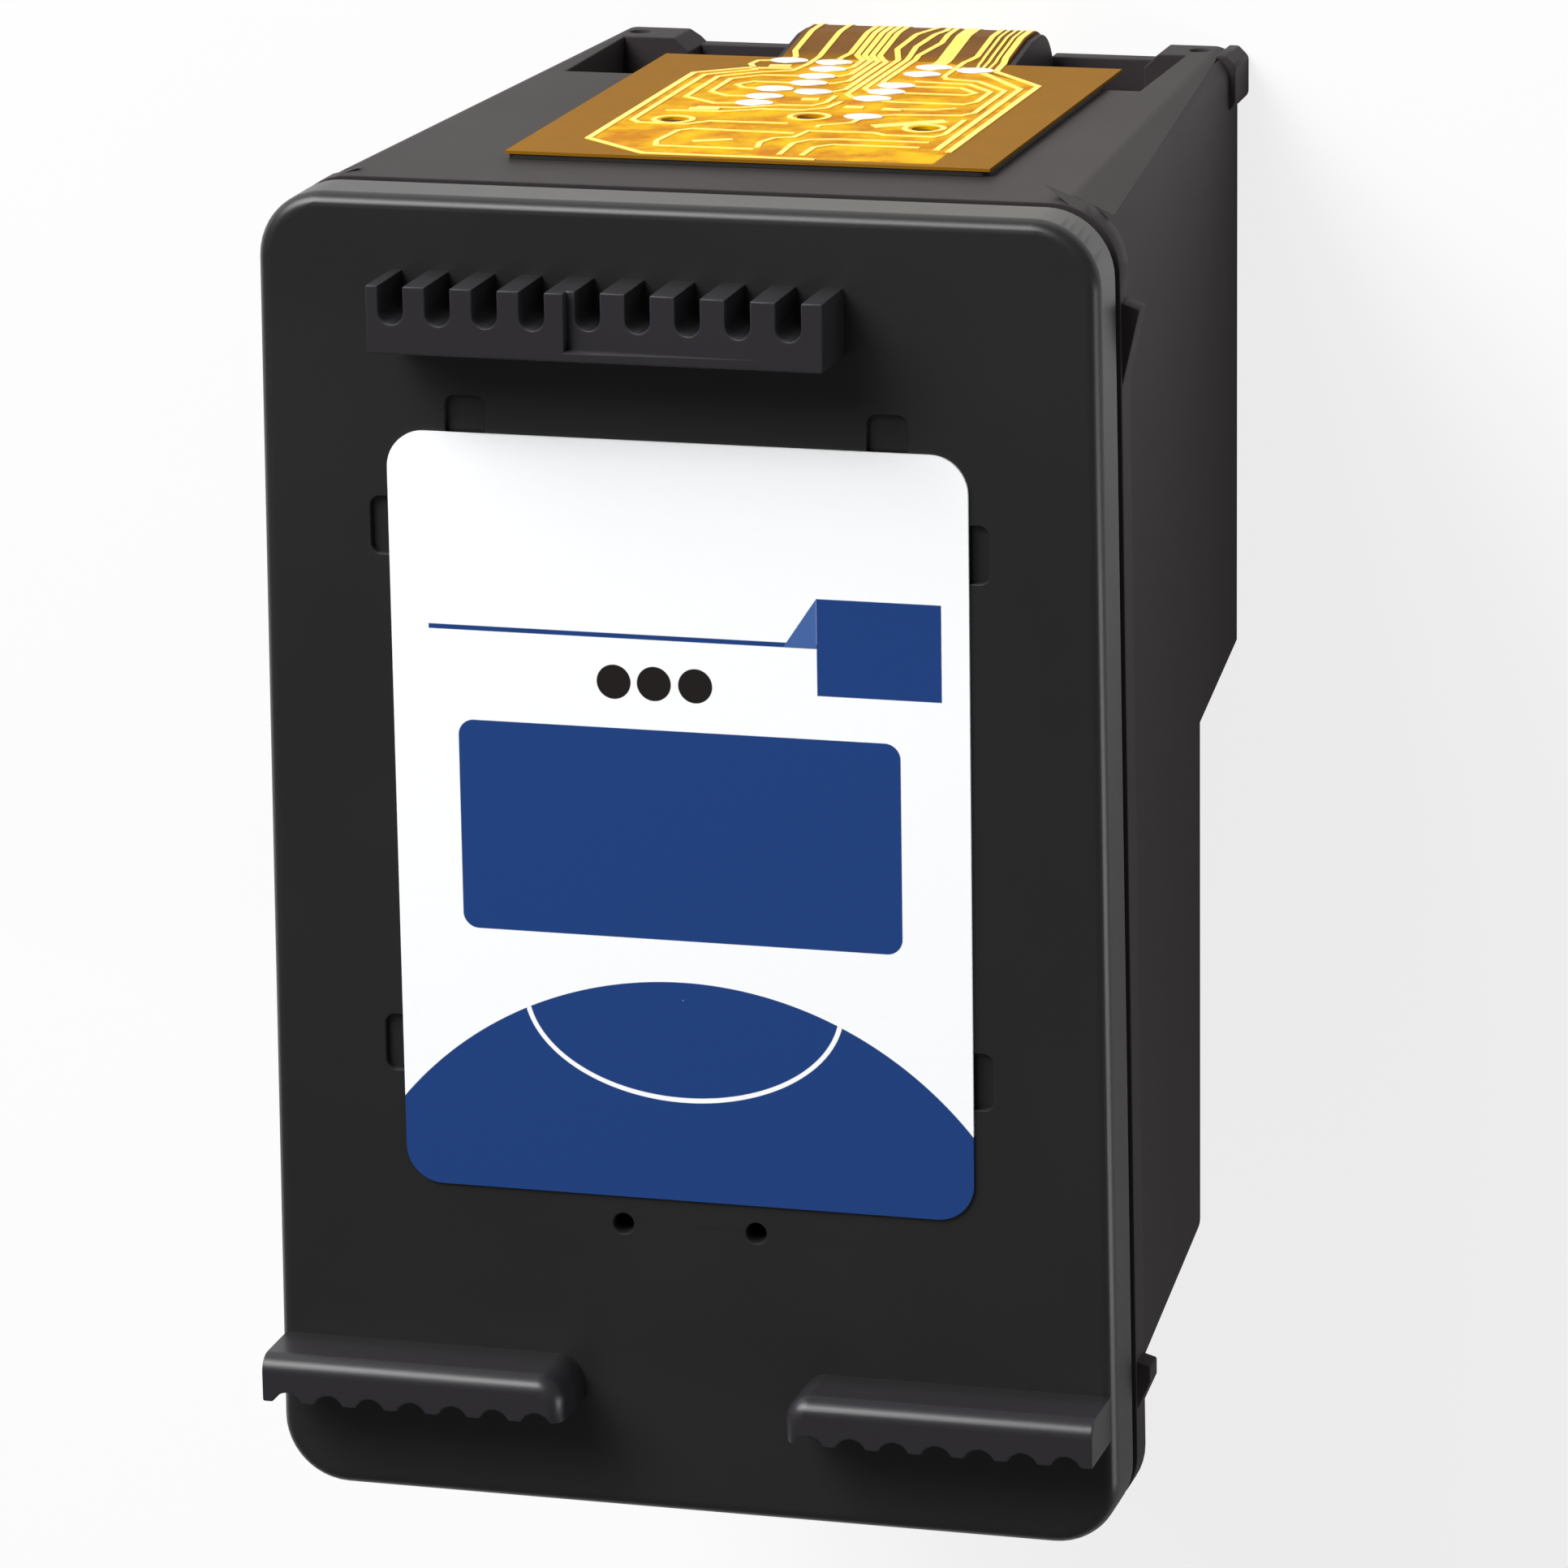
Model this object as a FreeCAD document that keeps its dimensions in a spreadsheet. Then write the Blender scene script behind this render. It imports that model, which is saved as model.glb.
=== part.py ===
import FreeCAD, Part
import math
import os
import re

import Sketcher

Vector = FreeCAD.Vector

# Frame: +Z runs from the nozzles up to the lid, +Y points to the contact face, and X
# runs across. The origin lies under the middle of the lid, level with the snout's rim.

# Driving sizes in millimetres: name, value, meaning
sizes = [
    ("cartridgeDepth", 38.0, "snout rim to flat face of lid"),
    ("lidWidth", 33.1, "lid across, at its middle"),
    ("lidTaper", 0.3, "lid side's lean, half its length"),
    ("lidLength", 51.6, "lid along"),
    ("lidPlate", 2.6, "thickness of lid plate"),
    ("lidCorner", 2.6, "corner radius of lid"),
    ("lidEdgeRound", 0.55, "rounding of lid edge"),
    ("seamGap", 0.8, "height of seam groove"),
    ("seamDepth", 0.75, "depth of seam groove"),
    ("flangeThick", 1.45, "body flange"),
    ("wallInset", 1.62, "side wall in from flange"),
    ("endInset", 0.8, "end wall in from flange"),
    ("sideDraft", 1.65, "side wall lean over its height"),
    ("endDraft", 2.8, "end wall lean over its height"),
    ("contactDraft", 0.2, "contact face lean over its height"),
    ("sideRound", 0.95, "upright edges of body"),
    ("wallThick", 1.3, "body walls"),
    ("floorThick", 1.3, "chamber floors"),
    ("innerRound", 0.8, "upright edges of foam and wells"),
    ("snoutTall", 8.6, "underside beside snout above rim"),
    ("floorRound", 1.2, "edge of underside"),
    ("snoutLong", 25.35, "lid's contact end to back of snout"),
    ("snoutDraft", 1.0, "lean of snout back"),
    ("snoutBevel", 0.35, "rim edges of snout"),
    ("nubReach", 0.45, "side nub beyond flange"),
    ("nubThick", 1.2, "side nubs"),
    ("upperNub", 3.7, "upper nubs from lid's contact end"),
    ("upperNubLong", 3.2, "length of upper nub"),
    ("lowerNub", 6.4, "lower nubs from lid's far end"),
    ("lowerNubLong", 1.95, "length of lower nub"),
    ("lowerNubFlat", 0.8, "level stretch of lower nub"),
    ("troughTop", 11.2, "top of trough above rim"),
    ("troughFoot", 2.8, "foot of trough above rim"),
    ("troughWide", 23.9, "trough across"),
    ("troughCentre", -0.3, "trough off middle"),
    ("troughDeep", 2.2, "trough below contact face"),
    ("rimDrop", 0.57, "nose rim below posts"),
    ("rimShort", 0.05, "nose rim below film seat"),
    ("rimWide", 19.4, "nose rim between posts"),
    ("rimCentre", 0.2, "nose rim off middle"),
    ("postLean", 0.6, "slope at foot of each post"),
    ("postHole", 0.8, "bore in each post"),
    ("postHoleDeep", 1.2, "depth of post bore"),
    ("postHoleApart", 23.9, "post bores apart"),
    ("postHoleUp", 1.5, "post bores above rim"),
    ("earReach", 0.42, "datum ear beyond wall"),
    ("earLong", 2.4, "datum ear along"),
    ("earTall", 2.6, "datum ear above rim"),
    ("earRound", 0.35, "edges of datum ear"),
    ("flexCentre", 0.7, "film off middle"),
    ("flexWide", 19.1, "film across"),
    ("flexSetback", 7.8, "lid face to film"),
    ("flexFoot", 8.2, "foot of flat film above rim"),
    ("filmThick", 0.12, "film"),
    ("glueThick", 0.2, "adhesive sheet under film"),
    ("glueInset", 0.6, "adhesive in from film edge"),
    ("tailWide", 9.4, "tail of film across"),
    ("saddleWide", 10.0, "nose saddle across"),
    ("tailClear", 0.15, "recess beside tail"),
    ("tailStart", 0.3, "flat film edge to bend of tail"),
    ("crestRise", 0.72, "nose saddle above contact face"),
    ("crestUp", 4.6, "nose saddle crest above rim"),
    ("crestRound", 1.5, "saddle crest"),
    ("noseRound", 2.3, "saddle nose"),
    ("bendRound", 1.5, "hollow bend of tail"),
    ("nozzleSeat", 0.95, "film seat above rim"),
    ("recessLong", 23.4, "lid's contact end to back of nozzle recess"),
    ("filmBackGap", 0.5, "film end to back of recess"),
    ("dieSetback", 13.8, "lid's contact end to middle of print die"),
    ("dieLong", 14.0, "print die along"),
    ("dieWide", 3.3, "print die across"),
    ("dieThick", 0.65, "print die"),
    ("dieClear", 0.15, "die to its pocket"),
    ("dieGlue", 0.15, "adhesive above die"),
    ("windowClear", 0.3, "film window beyond die"),
    ("plateThick", 0.06, "nozzle plate"),
    ("plateInset", 0.1, "nozzle plate in from die sides"),
    ("beadThick", 0.18, "bond beads"),
    ("beadOnDie", 0.7, "bead over die end"),
    ("beadOnFilm", 0.6, "bead over film"),
    ("slotWide", 0.9, "ink slot across"),
    ("slotLong", 11.0, "ink slot along"),
    ("towerWide", 6.5, "standpipe across"),
    ("towerLong", 14.0, "standpipe along"),
    ("towerWall", 1.2, "standpipe wall"),
    ("towerRise", 0.6, "standpipe above lower floor"),
    ("wellFloor", 4.2, "floor of snout well above rim"),
    ("wellWide", 18.0, "snout well across"),
    ("wellBack", 22.8, "lid's contact end to back of snout well"),
    ("wellFront", 4.6, "lid's contact end to front of snout well"),
    ("screenThick", 0.25, "filter screen"),
    ("foamClear", 0.1, "foam to walls"),
    ("foamTop", 3.0, "foam top under lid plate"),
    ("skirtTall", 1.5, "lid skirt"),
    ("skirtThick", 1.0, "lid skirt wall"),
    ("skirtClear", 0.1, "lid skirt to body wall"),
    ("ribThick", 1.0, "foam ribs of lid"),
    ("ribPitch", 14.0, "foam ribs apart"),
    ("gripStart", -11.0, "left end of grip bar"),
    ("gripLong", 17.6, "grip bar across"),
    ("gripSetback", 5.4, "lid's contact end to lower side of grip bar"),
    ("gripTall", 2.6, "grip bar along lid"),
    ("gripProud", 3.0, "grip bar above lid"),
    ("slitWide", 0.95, "slits between teeth"),
    ("slitDeep", 1.45, "slits from tooth tips"),
    ("leftSlit", 0.97, "first left slit from bar end"),
    ("leftPitch", 1.83, "left slits apart"),
    ("leftCount", 4, "left slits"),
    ("rightSlit", 8.5, "first right slit from bar end"),
    ("rightPitch", 1.95, "right slits apart"),
    ("rightCount", 5, "right slits"),
    ("facetStart", 7.7, "leaning facet from bar end"),
    ("facetLong", 7.6, "leaning facet across"),
    ("facetDeep", 0.45, "leaning facet at its deep end"),
    ("facetLedge", 0.4, "ledge under leaning facet"),
    ("wingInner", 4.4, "finger ribs from middle"),
    ("wingSetback", 6.2, "lid's far end to upper side of finger ribs"),
    ("wingTall", 1.85, "finger ribs along lid"),
    ("wingProud", 3.0, "finger ribs above lid"),
    ("wingRidge", 0.7, "ridge of finger ribs"),
    ("wingEnd", 1.0, "inner end of finger ribs"),
    ("fluteRadius", 0.62, "flutes of finger ribs"),
    ("fluteDeep", 0.4, "depth of flutes"),
    ("flutePitch", 1.68, "flutes apart"),
    ("fluteCount", 7, "flutes in each rib"),
    ("fluteStart", 1.0, "first flute from rib end"),
    ("labelWide", 22.6, "label across"),
    ("labelLong", 29.8, "label along"),
    ("labelMiddle", 1.95, "label from lid middle"),
    ("labelCorner", 1.45, "label corners"),
    ("labelThick", 0.12, "label"),
    ("notchWide", 1.55, "lid notches"),
    ("notchDeep", 0.3, "depth of lid notches"),
    ("notchPeek", 1.4, "notches beyond label end"),
    ("notchApart", 16.4, "end notches apart"),
    ("notchSide", 0.75, "notches beyond label side"),
    ("notchTall", 2.2, "side notches along"),
    ("notchUpper", 13.1, "upper side notches from middle"),
    ("notchLower", -7.4, "lower side notches from middle"),
    ("ventHole", 0.8, "vent bores"),
    ("ventApart", 5.3, "vent bores apart"),
    ("ventSetback", 11.7, "lid's far end to vent bores"),
    ("padWide", 1.4, "contact pads across"),
    ("padTall", 1.0, "contact pads along"),
    ("padThick", 0.04, "contact pads"),
    ("toolHole", 1.0, "tooling holes in film"),
    ("toolApart", 5.05, "outer tooling holes from film middle"),
    ("toolOuter", 7.6, "outer tooling holes from film edge"),
    ("toolMiddle", 9.2, "middle tooling hole from film edge"),
]

# Contact pads in columns, in millimetres: from film middle, from foot of flat film, apart, count
padColumns = [
    (-2.0, 1.15, 1.65, 4),
    (-2.9, 7.7, 1.5, 3),
    (-1.1, 7.8, 1.5, 1),
    (-4.0, 1.4, 1.5, 1),
    (1.8, 6.0, 1.45, 3),
    (2.2, 1.9, 1.4, 2),
    (3.9, 2.6, 1.5, 1),
    (2.2, 12.6, 1.5, 1),
]

# Corners of a pad, in parts of its two sizes
padCorners = [(-0.5, -0.2), (-0.25, -0.5), (0.25, -0.5), (0.5, -0.2),
              (0.5, 0.2), (0.25, 0.5), (-0.25, 0.5), (-0.5, 0.2)]

names = {name for name, value, meaning in sizes}
doc = FreeCAD.newDocument("InkCartridge")
sheet = doc.addObject("Spreadsheet::Sheet", "Sizes")
for row, (name, value, meaning) in enumerate(sizes, 1):
    sheet.set(f"A{row}", meaning)
    sheet.set(f"B{row}", str(value))
    sheet.setAlias(f"B{row}", name)
doc.recompute()


def tied(text):
    """The text with each size's name written as its cell in the sheet."""
    return re.sub(r"[A-Za-z]+", lambda m: "Sizes." + m.group() if m.group() in names else m.group(), text)


def worth(text):
    """Value of an expression on the sheet's sizes."""
    return float(sheet.evalExpression(tied(text)))


def bind(thing, prop, text):
    thing.setExpression(prop, tied(text))


# Heights above the snout's rim
flangeLow = "(cartridgeDepth - lidPlate - seamGap - flangeThick)"
seamLow = "(cartridgeDepth - lidPlate - seamGap)"
plateLow = "(cartridgeDepth - lidPlate)"
chamberLow = "(snoutTall + floorThick)"
chamberHigh = "(troughTop + floorThick)"
towerTop = "(snoutTall + floorThick + towerRise)"
foamHigh = "(cartridgeDepth - lidPlate - foamTop)"
flexHigh = "(cartridgeDepth - flexSetback)"
dieLow = "(nozzleSeat - filmThick)"
diePocket = "(nozzleSeat - filmThick + dieThick + dieGlue)"

# Places along the cartridge, from the ends of the lid
snoutBack = "(lidLength / 2 - snoutLong)"
recessBack = "(lidLength / 2 - recessLong)"
dieMiddle = "(lidLength / 2 - dieSetback)"
gripLow = "(lidLength / 2 - gripSetback)"
wingHigh = "(wingSetback - lidLength / 2)"


# Faces of the drafted walls at a height
def sideAt(height):
    return f"(lidWidth / 2 - wallInset - sideDraft * (1 - {height} / {flangeLow}))"


def endAt(height):
    return f"(endInset - lidLength / 2 + endDraft * (1 - {height} / {flangeLow}))"


def contactAt(height):
    return f"(lidLength / 2 - contactDraft * (1 - {height} / {flangeLow}))"


troughY = f"({contactAt('troughTop')} - troughDeep)"
crestY = f"({contactAt('0')} + crestRise)"


# Sketches
def sketchOn(body, name, plane, offset="0"):
    sketch = body.newObject("Sketcher::SketchObject", name)
    origin = [feature for feature in body.Origin.OriginFeatures if feature.Role == plane][0]
    sketch.AttachmentSupport = [(origin, "")]
    sketch.MapMode = "FlatFace"
    bind(sketch, "AttachmentOffset.Base.z", offset)
    return sketch


def dimensions(sketch, wanted):
    """Add dimensions at once, each a kind, its geometry and the expression it follows."""
    first = sketch.ConstraintCount
    sketch.addConstraint([Sketcher.Constraint(kind, *where, worth(text)) for kind, where, text in wanted])
    for number, (kind, where, text) in enumerate(wanted, first):
        bind(sketch, f"Constraints[{number}]", text)


def polygon(sketch, corners):
    """Closed outline, each corner a pair of expressions."""
    first = sketch.GeometryCount
    count = len(corners)
    spots = [Vector(worth(across), worth(along), 0) for across, along in corners]
    sketch.addGeometry([Part.LineSegment(spot, spots[(number + 1) % count]) for number, spot in enumerate(spots)])
    sketch.addConstraint([
        Sketcher.Constraint("Coincident", first + number, 2, first + (number + 1) % count, 1)
        for number in range(count)])
    wanted = []
    for number, (across, along) in enumerate(corners, first):
        wanted.append(("DistanceX", (-1, 1, number, 1), across))
        wanted.append(("DistanceY", (-1, 1, number, 1), along))
    dimensions(sketch, wanted)


def rectangle(sketch, left, right, low, high):
    polygon(sketch, [(left, low), (right, low), (right, high), (left, high)])


def roundRectangle(sketch, left, right, low, high, radius):
    first = sketch.GeometryCount
    x0, x1, y0, y1, r = (worth(text) for text in (left, right, low, high, radius))
    sides = [
        (Vector(x0 + r, y0, 0), Vector(x1 - r, y0, 0)),
        (Vector(x1, y0 + r, 0), Vector(x1, y1 - r, 0)),
        (Vector(x1 - r, y1, 0), Vector(x0 + r, y1, 0)),
        (Vector(x0, y1 - r, 0), Vector(x0, y0 + r, 0)),
    ]
    middles = [(x1 - r, y0 + r), (x1 - r, y1 - r), (x0 + r, y1 - r), (x0 + r, y0 + r)]
    up = Vector(0, 0, 1)
    geometry = []
    rules = []
    for number in range(4):
        circle = Part.Circle(Vector(*middles[number], 0), up, r)
        turn = math.radians(90 * (number - 1))
        geometry += [Part.LineSegment(*sides[number]), Part.ArcOfCircle(circle, turn, turn + math.pi / 2)]
        line = first + 2 * number
        following = first + (2 * number + 2) % 8
        rules.append(Sketcher.Constraint("Tangent", line, 2, line + 1, 1))
        rules.append(Sketcher.Constraint("Tangent", line + 1, 2, following, 1))
        rules.append(Sketcher.Constraint("Vertical" if number % 2 else "Horizontal", line))
        if number:
            rules.append(Sketcher.Constraint("Equal", first + 1, line + 1))
    sketch.addGeometry(geometry)
    sketch.addConstraint(rules)
    dimensions(sketch, [("Radius", (first + 1,), radius), ("DistanceY", (-1, 1, first, 1), low),
                        ("DistanceX", (-1, 1, first + 2, 1), right), ("DistanceY", (-1, 1, first + 4, 1), high),
                        ("DistanceX", (-1, 1, first + 6, 1), left)])


def taperedOutline(sketch, halfWide, halfLong, radius):
    """Outline of the lid: its sides lean, so that it is wider at the end away from the contact face."""
    wide, long, r = worth(halfWide), worth(halfLong), worth(radius)
    lean = worth("lidTaper") * (long - r) / long
    low, high = wide + lean, wide - lean
    lines = [
        (Vector(r - low, -long, 0), Vector(low - r, -long, 0)),
        (Vector(low, r - long, 0), Vector(high, long - r, 0)),
        (Vector(high - r, long, 0), Vector(r - high, long, 0)),
        (Vector(-high, long - r, 0), Vector(-low, r - long, 0)),
    ]
    middles = [(low - r, r - long), (high - r, long - r), (r - high, long - r), (r - low, r - long)]
    geometry = []
    rules = [Sketcher.Constraint("Horizontal", 0), Sketcher.Constraint("Horizontal", 4)]
    for number in range(4):
        corner = Part.Circle(Vector(*middles[number], 0), Vector(0, 0, 1), r)
        turn = math.radians(90 * (number - 1))
        geometry += [Part.LineSegment(*lines[number]), Part.ArcOfCircle(corner, turn, turn + math.pi / 2)]
        line = 2 * number
        rules.append(Sketcher.Constraint("Tangent", line, 2, line + 1, 1))
        rules.append(Sketcher.Constraint("Tangent", line + 1, 2, (line + 2) % 8, 1))
        if number:
            rules.append(Sketcher.Constraint("Equal", 1, line + 1))
    sketch.addGeometry(geometry)
    sketch.addConstraint(rules)
    leaning = f"lidTaper * (1 - {radius} / {halfLong})"
    dimensions(sketch, [
        ("Radius", (1,), radius),
        ("DistanceY", (-1, 1, 0, 1), f"-{halfLong}"), ("DistanceY", (-1, 1, 4, 1), halfLong),
        ("DistanceX", (-1, 1, 2, 1), f"{halfWide} + {leaning}"),
        ("DistanceX", (-1, 1, 2, 2), f"{halfWide} - {leaning}"),
        ("DistanceX", (-1, 1, 6, 1), f"{leaning} - {halfWide}"),
        ("DistanceX", (-1, 1, 6, 2), f"-{halfWide} - {leaning}")])


def circle(sketch, across, along, radius):
    number = sketch.GeometryCount
    middle = Vector(worth(across), worth(along), 0)
    sketch.addGeometry(Part.Circle(middle, Vector(0, 0, 1), worth(radius)))
    dimensions(sketch, [("DistanceX", (-1, 1, number, 3), across), ("DistanceY", (-1, 1, number, 3), along),
                        ("Radius", (number,), radius)])


# Features, each checked to have added or taken material
def finished(body, feature, grows):
    before = feature.BaseFeature.Shape.Volume if feature.BaseFeature else 0
    doc.recompute()
    change = feature.Shape.Volume - before
    if (change > 0) != grows or abs(change) < 1e-6:
        raise RuntimeError(f"{feature.Label} changed the volume by {change:.4f}")
    return feature


def pad(body, name, sketch, length, turned=False):
    feature = body.newObject("PartDesign::Pad", name)
    feature.Profile = sketch
    feature.Reversed = turned
    bind(feature, "Length", length)
    return finished(body, feature, True)


def pocket(body, name, sketch, length, turned=False):
    feature = body.newObject("PartDesign::Pocket", name)
    feature.Profile = sketch
    feature.Reversed = turned
    bind(feature, "Length", length)
    return finished(body, feature, False)


def loft(body, name, kind, lower, upper):
    feature = body.newObject(f"PartDesign::{kind}Loft", name)
    feature.Profile = lower
    feature.Sections = [upper]
    feature.Ruled = True
    return finished(body, feature, kind == "Additive")


def roundEdges(body, name, radius, chosen, grows=False):
    base = body.Tip
    edges = [f"Edge{number}" for number, edge in enumerate(base.Shape.Edges, 1) if chosen(edge)]
    if not edges:
        raise RuntimeError(f"{name} found no edge")
    feature = body.newObject("PartDesign::Fillet", name)
    feature.Base = (base, edges)
    bind(feature, "Radius", radius)
    return finished(body, feature, grows)


def repeated(body, name, feature, axis, pitch, count):
    """Copies of a feature along an origin axis, pitch apart."""
    pattern = body.newObject("PartDesign::LinearPattern", name)
    pattern.Originals = [feature]
    direction = [part for part in body.Origin.OriginFeatures if part.Role == axis][0]
    pattern.Direction = (direction, [""])
    bind(pattern, "Length", f"{pitch} * ({count} - 1)")
    bind(pattern, "Occurrences", count)
    body.Tip = pattern
    doc.recompute()
    return pattern


def leaned(body, name, amount, neutral, chosen):
    """Draft of the chosen flat faces inwards below the face at the neutral height."""
    base = body.Tip
    names = [f"Face{number}" for number, face in enumerate(base.Shape.Faces, 1)
             if type(face.Surface).__name__ == "Plane" and chosen(face.normalAt(0, 0), face.CenterOfMass)]
    top = [f"Face{number}" for number, face in enumerate(base.Shape.Faces, 1)
           if abs(face.BoundBox.ZMin - neutral) < 1e-4 and abs(face.BoundBox.ZMax - neutral) < 1e-4]
    feature = body.newObject("PartDesign::Draft", name)
    feature.Base = (base, names)
    feature.NeutralPlane = (base, top[:1])
    feature.Reversed = True
    bind(feature, "Angle", f"atan({amount} / {flangeLow})")
    return finished(body, feature, False)


def level(edge, height):
    """True where the whole edge lies at a height."""
    return all(abs(vertex.Z - height) < 1e-4 for vertex in edge.Vertexes)


def newBody(name):
    body = doc.addObject("PartDesign::Body", name)
    body.Label = name
    return body


# Body shell: a drafted moulding with a flange, a snout and an ink chamber
shell = newBody("cartridge_body")


def wallOutline(name, height, inset):
    sketch = sketchOn(shell, name, "XY_Plane", height)
    half = f"({sideAt(height)} - {inset})"
    rectangle(sketch, f"-{half}", half, f"{endAt(height)} + {inset}", f"{contactAt(height)} - {inset}")
    return sketch


pad(shell, "WallBlock", wallOutline("WallOutline", flangeLow, "0"), flangeLow, True)
wallTop = worth(flangeLow)
leaned(shell, "SideDraft", "sideDraft", wallTop, lambda normal, place: abs(normal.x) > 0.9)
leaned(shell, "EndDraft", "endDraft", wallTop, lambda normal, place: normal.y < -0.9)
leaned(shell, "ContactDraft", "contactDraft", wallTop, lambda normal, place: normal.y > 0.9)
roundEdges(shell, "SideEdges", "sideRound", lambda edge: not level(edge, 0) and not level(edge, wallTop))

sketch = sketchOn(shell, "FlangeOutline", "XY_Plane", flangeLow)
taperedOutline(sketch, "(lidWidth / 2)", "(lidLength / 2)", "lidCorner")
pad(shell, "Flange", sketch, "flangeThick")

sketch = sketchOn(shell, "NeckOutline", "XY_Plane", seamLow)
taperedOutline(sketch, "(lidWidth / 2 - seamDepth)", "(lidLength / 2 - seamDepth)", "(lidCorner - seamDepth)")
pad(shell, "Neck", sketch, "seamGap")

sketch = sketchOn(shell, "NubOutlines", "XY_Plane", f"{flangeLow} + (flangeThick - nubThick) / 2")
for hand in ("", "-"):
    root = f"{hand}(lidWidth / 2 - nubReach)"
    high, low = "(lidLength / 2 - upperNub)", "(lidLength / 2 - upperNub - upperNubLong)"
    edgeAt = f"{hand}(lidWidth / 2 - lidTaper * {{}} / lidLength * 2)"
    tip = f"{hand}(lidWidth / 2 + nubReach)"
    polygon(sketch, [(root, high), (edgeAt.format(high), high), (tip, f"{high} - nubReach / 2"),
                     (edgeAt.format(low), low), (root, low)])
    high, low = "(lowerNub - lidLength / 2)", "(lowerNub - lidLength / 2 - lowerNubLong)"
    tip = f"{hand}(lidWidth / 2 + lidTaper + nubReach)"
    polygon(sketch, [(root, high), (edgeAt.format(high), high), (tip, f"{high} - nubReach / 3"),
                     (tip, f"{high} - lowerNubFlat"), (edgeAt.format(low), low), (root, low)])
pad(shell, "SideNubs", sketch, "nubThick")

sketch = sketchOn(shell, "StepOutline", "YZ_Plane")
polygon(sketch, [("-lidLength", "-lidPlate"), (snoutBack, "-lidPlate"), (snoutBack, "0"),
                 (f"{snoutBack} - snoutDraft", "snoutTall"), ("-lidLength", "snoutTall")])
step = shell.newObject("PartDesign::Pocket", "Step")
step.Profile = sketch
step.SideType = "Symmetric"
bind(step, "Length", "2 * lidWidth")
finished(shell, step, False)

floorHeight = worth("snoutTall")
stepTop = worth(f"{snoutBack} - snoutDraft")
roundEdges(shell, "UndersideEdge", "floorRound", lambda edge: (
    level(edge, floorHeight) and edge.CenterOfMass.y < stepTop - 1))
rim = shell.Tip
bevel = shell.newObject("PartDesign::Chamfer", "SnoutRim")
bevel.Base = (rim, [f"Edge{number}" for number, edge in enumerate(rim.Shape.Edges, 1) if level(edge, 0)])
bind(bevel, "Size", "snoutBevel")
finished(shell, bevel, False)

chamberFloor = wallOutline("ChamberFloor", chamberHigh, "wallThick")
chamberMouth = wallOutline("ChamberMouth", plateLow, "wallThick")
loft(shell, "Chamber", "Subtractive", chamberFloor, chamberMouth)

lowHalf = f"({sideAt(chamberLow)} - wallThick)"
lowEnd = f"({endAt(chamberLow)} + wallThick)"
lowReach = f"({troughY} - wallThick)"
sketch = sketchOn(shell, "LowerChamberOutline", "XY_Plane", chamberHigh)
roundRectangle(sketch, f"-{lowHalf}", lowHalf, lowEnd, lowReach, "innerRound")
pocket(shell, "LowerChamber", sketch, f"{chamberHigh} - {chamberLow}")

sketch = sketchOn(shell, "WellOutline", "XY_Plane", chamberLow)
roundRectangle(sketch, "-wellWide / 2", "wellWide / 2", "lidLength / 2 - wellBack",
               "lidLength / 2 - wellFront", "innerRound")
pocket(shell, "SnoutWell", sketch, f"{chamberLow} - wellFloor")

sketch = sketchOn(shell, "StandpipeOutline", "XY_Plane", "wellFloor")
towerX = ("(flexCentre - towerWide / 2)", "(flexCentre + towerWide / 2)")
towerY = (f"({dieMiddle} - towerLong / 2)", f"({dieMiddle} + towerLong / 2)")
roundRectangle(sketch, *towerX, *towerY, "innerRound")
rectangle(sketch, f"{towerX[0]} + towerWall", f"{towerX[1]} - towerWall",
          f"{towerY[0]} + towerWall", f"{towerY[1]} - towerWall")
pad(shell, "Standpipe", sketch, f"{towerTop} - wellFloor")

sketch = sketchOn(shell, "InkSlotOutline", "XY_Plane", "wellFloor")
rectangle(sketch, "flexCentre - slotWide / 2", "flexCentre + slotWide / 2",
          f"{dieMiddle} - slotLong / 2", f"{dieMiddle} + slotLong / 2")
pocket(shell, "InkSlot", sketch, "wellFloor")

recessHalf = "(tailWide / 2 + tailClear)"
sketch = sketchOn(shell, "NozzleRecessOutline", "XY_Plane")
rectangle(sketch, f"flexCentre - {recessHalf}", f"flexCentre + {recessHalf}", recessBack, "lidLength")
pocket(shell, "NozzleRecess", sketch, "nozzleSeat", True)

dieHalfWide = "(dieWide / 2 + dieClear)"
dieHalfLong = "(dieLong / 2 + dieClear)"
sketch = sketchOn(shell, "DiePocketOutline", "XY_Plane")
rectangle(sketch, f"flexCentre - {dieHalfWide}", f"flexCentre + {dieHalfWide}",
          f"{dieMiddle} - {dieHalfLong}", f"{dieMiddle} + {dieHalfLong}")
pocket(shell, "DiePocket", sketch, diePocket, True)

# The XZ plane faces away from the contact face, so an offset to that face is negative
sketch = sketchOn(shell, "TroughOutline", "XZ_Plane", "-lidLength")
troughLeft, troughRight = "(troughCentre - troughWide / 2)", "(troughCentre + troughWide / 2)"
rimLeft, rimRight = "(rimCentre - rimWide / 2)", "(rimCentre + rimWide / 2)"
polygon(sketch, [(troughLeft, "troughFoot"), (rimLeft, "troughFoot"), (rimLeft, "nozzleSeat - rimShort"),
                 (rimRight, "nozzleSeat - rimShort"), (rimRight, "troughFoot"), (troughRight, "troughFoot"),
                 (troughRight, "troughTop"), (troughLeft, "troughTop")])
pocket(shell, "Trough", sketch, f"lidLength - {troughY}", True)

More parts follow.
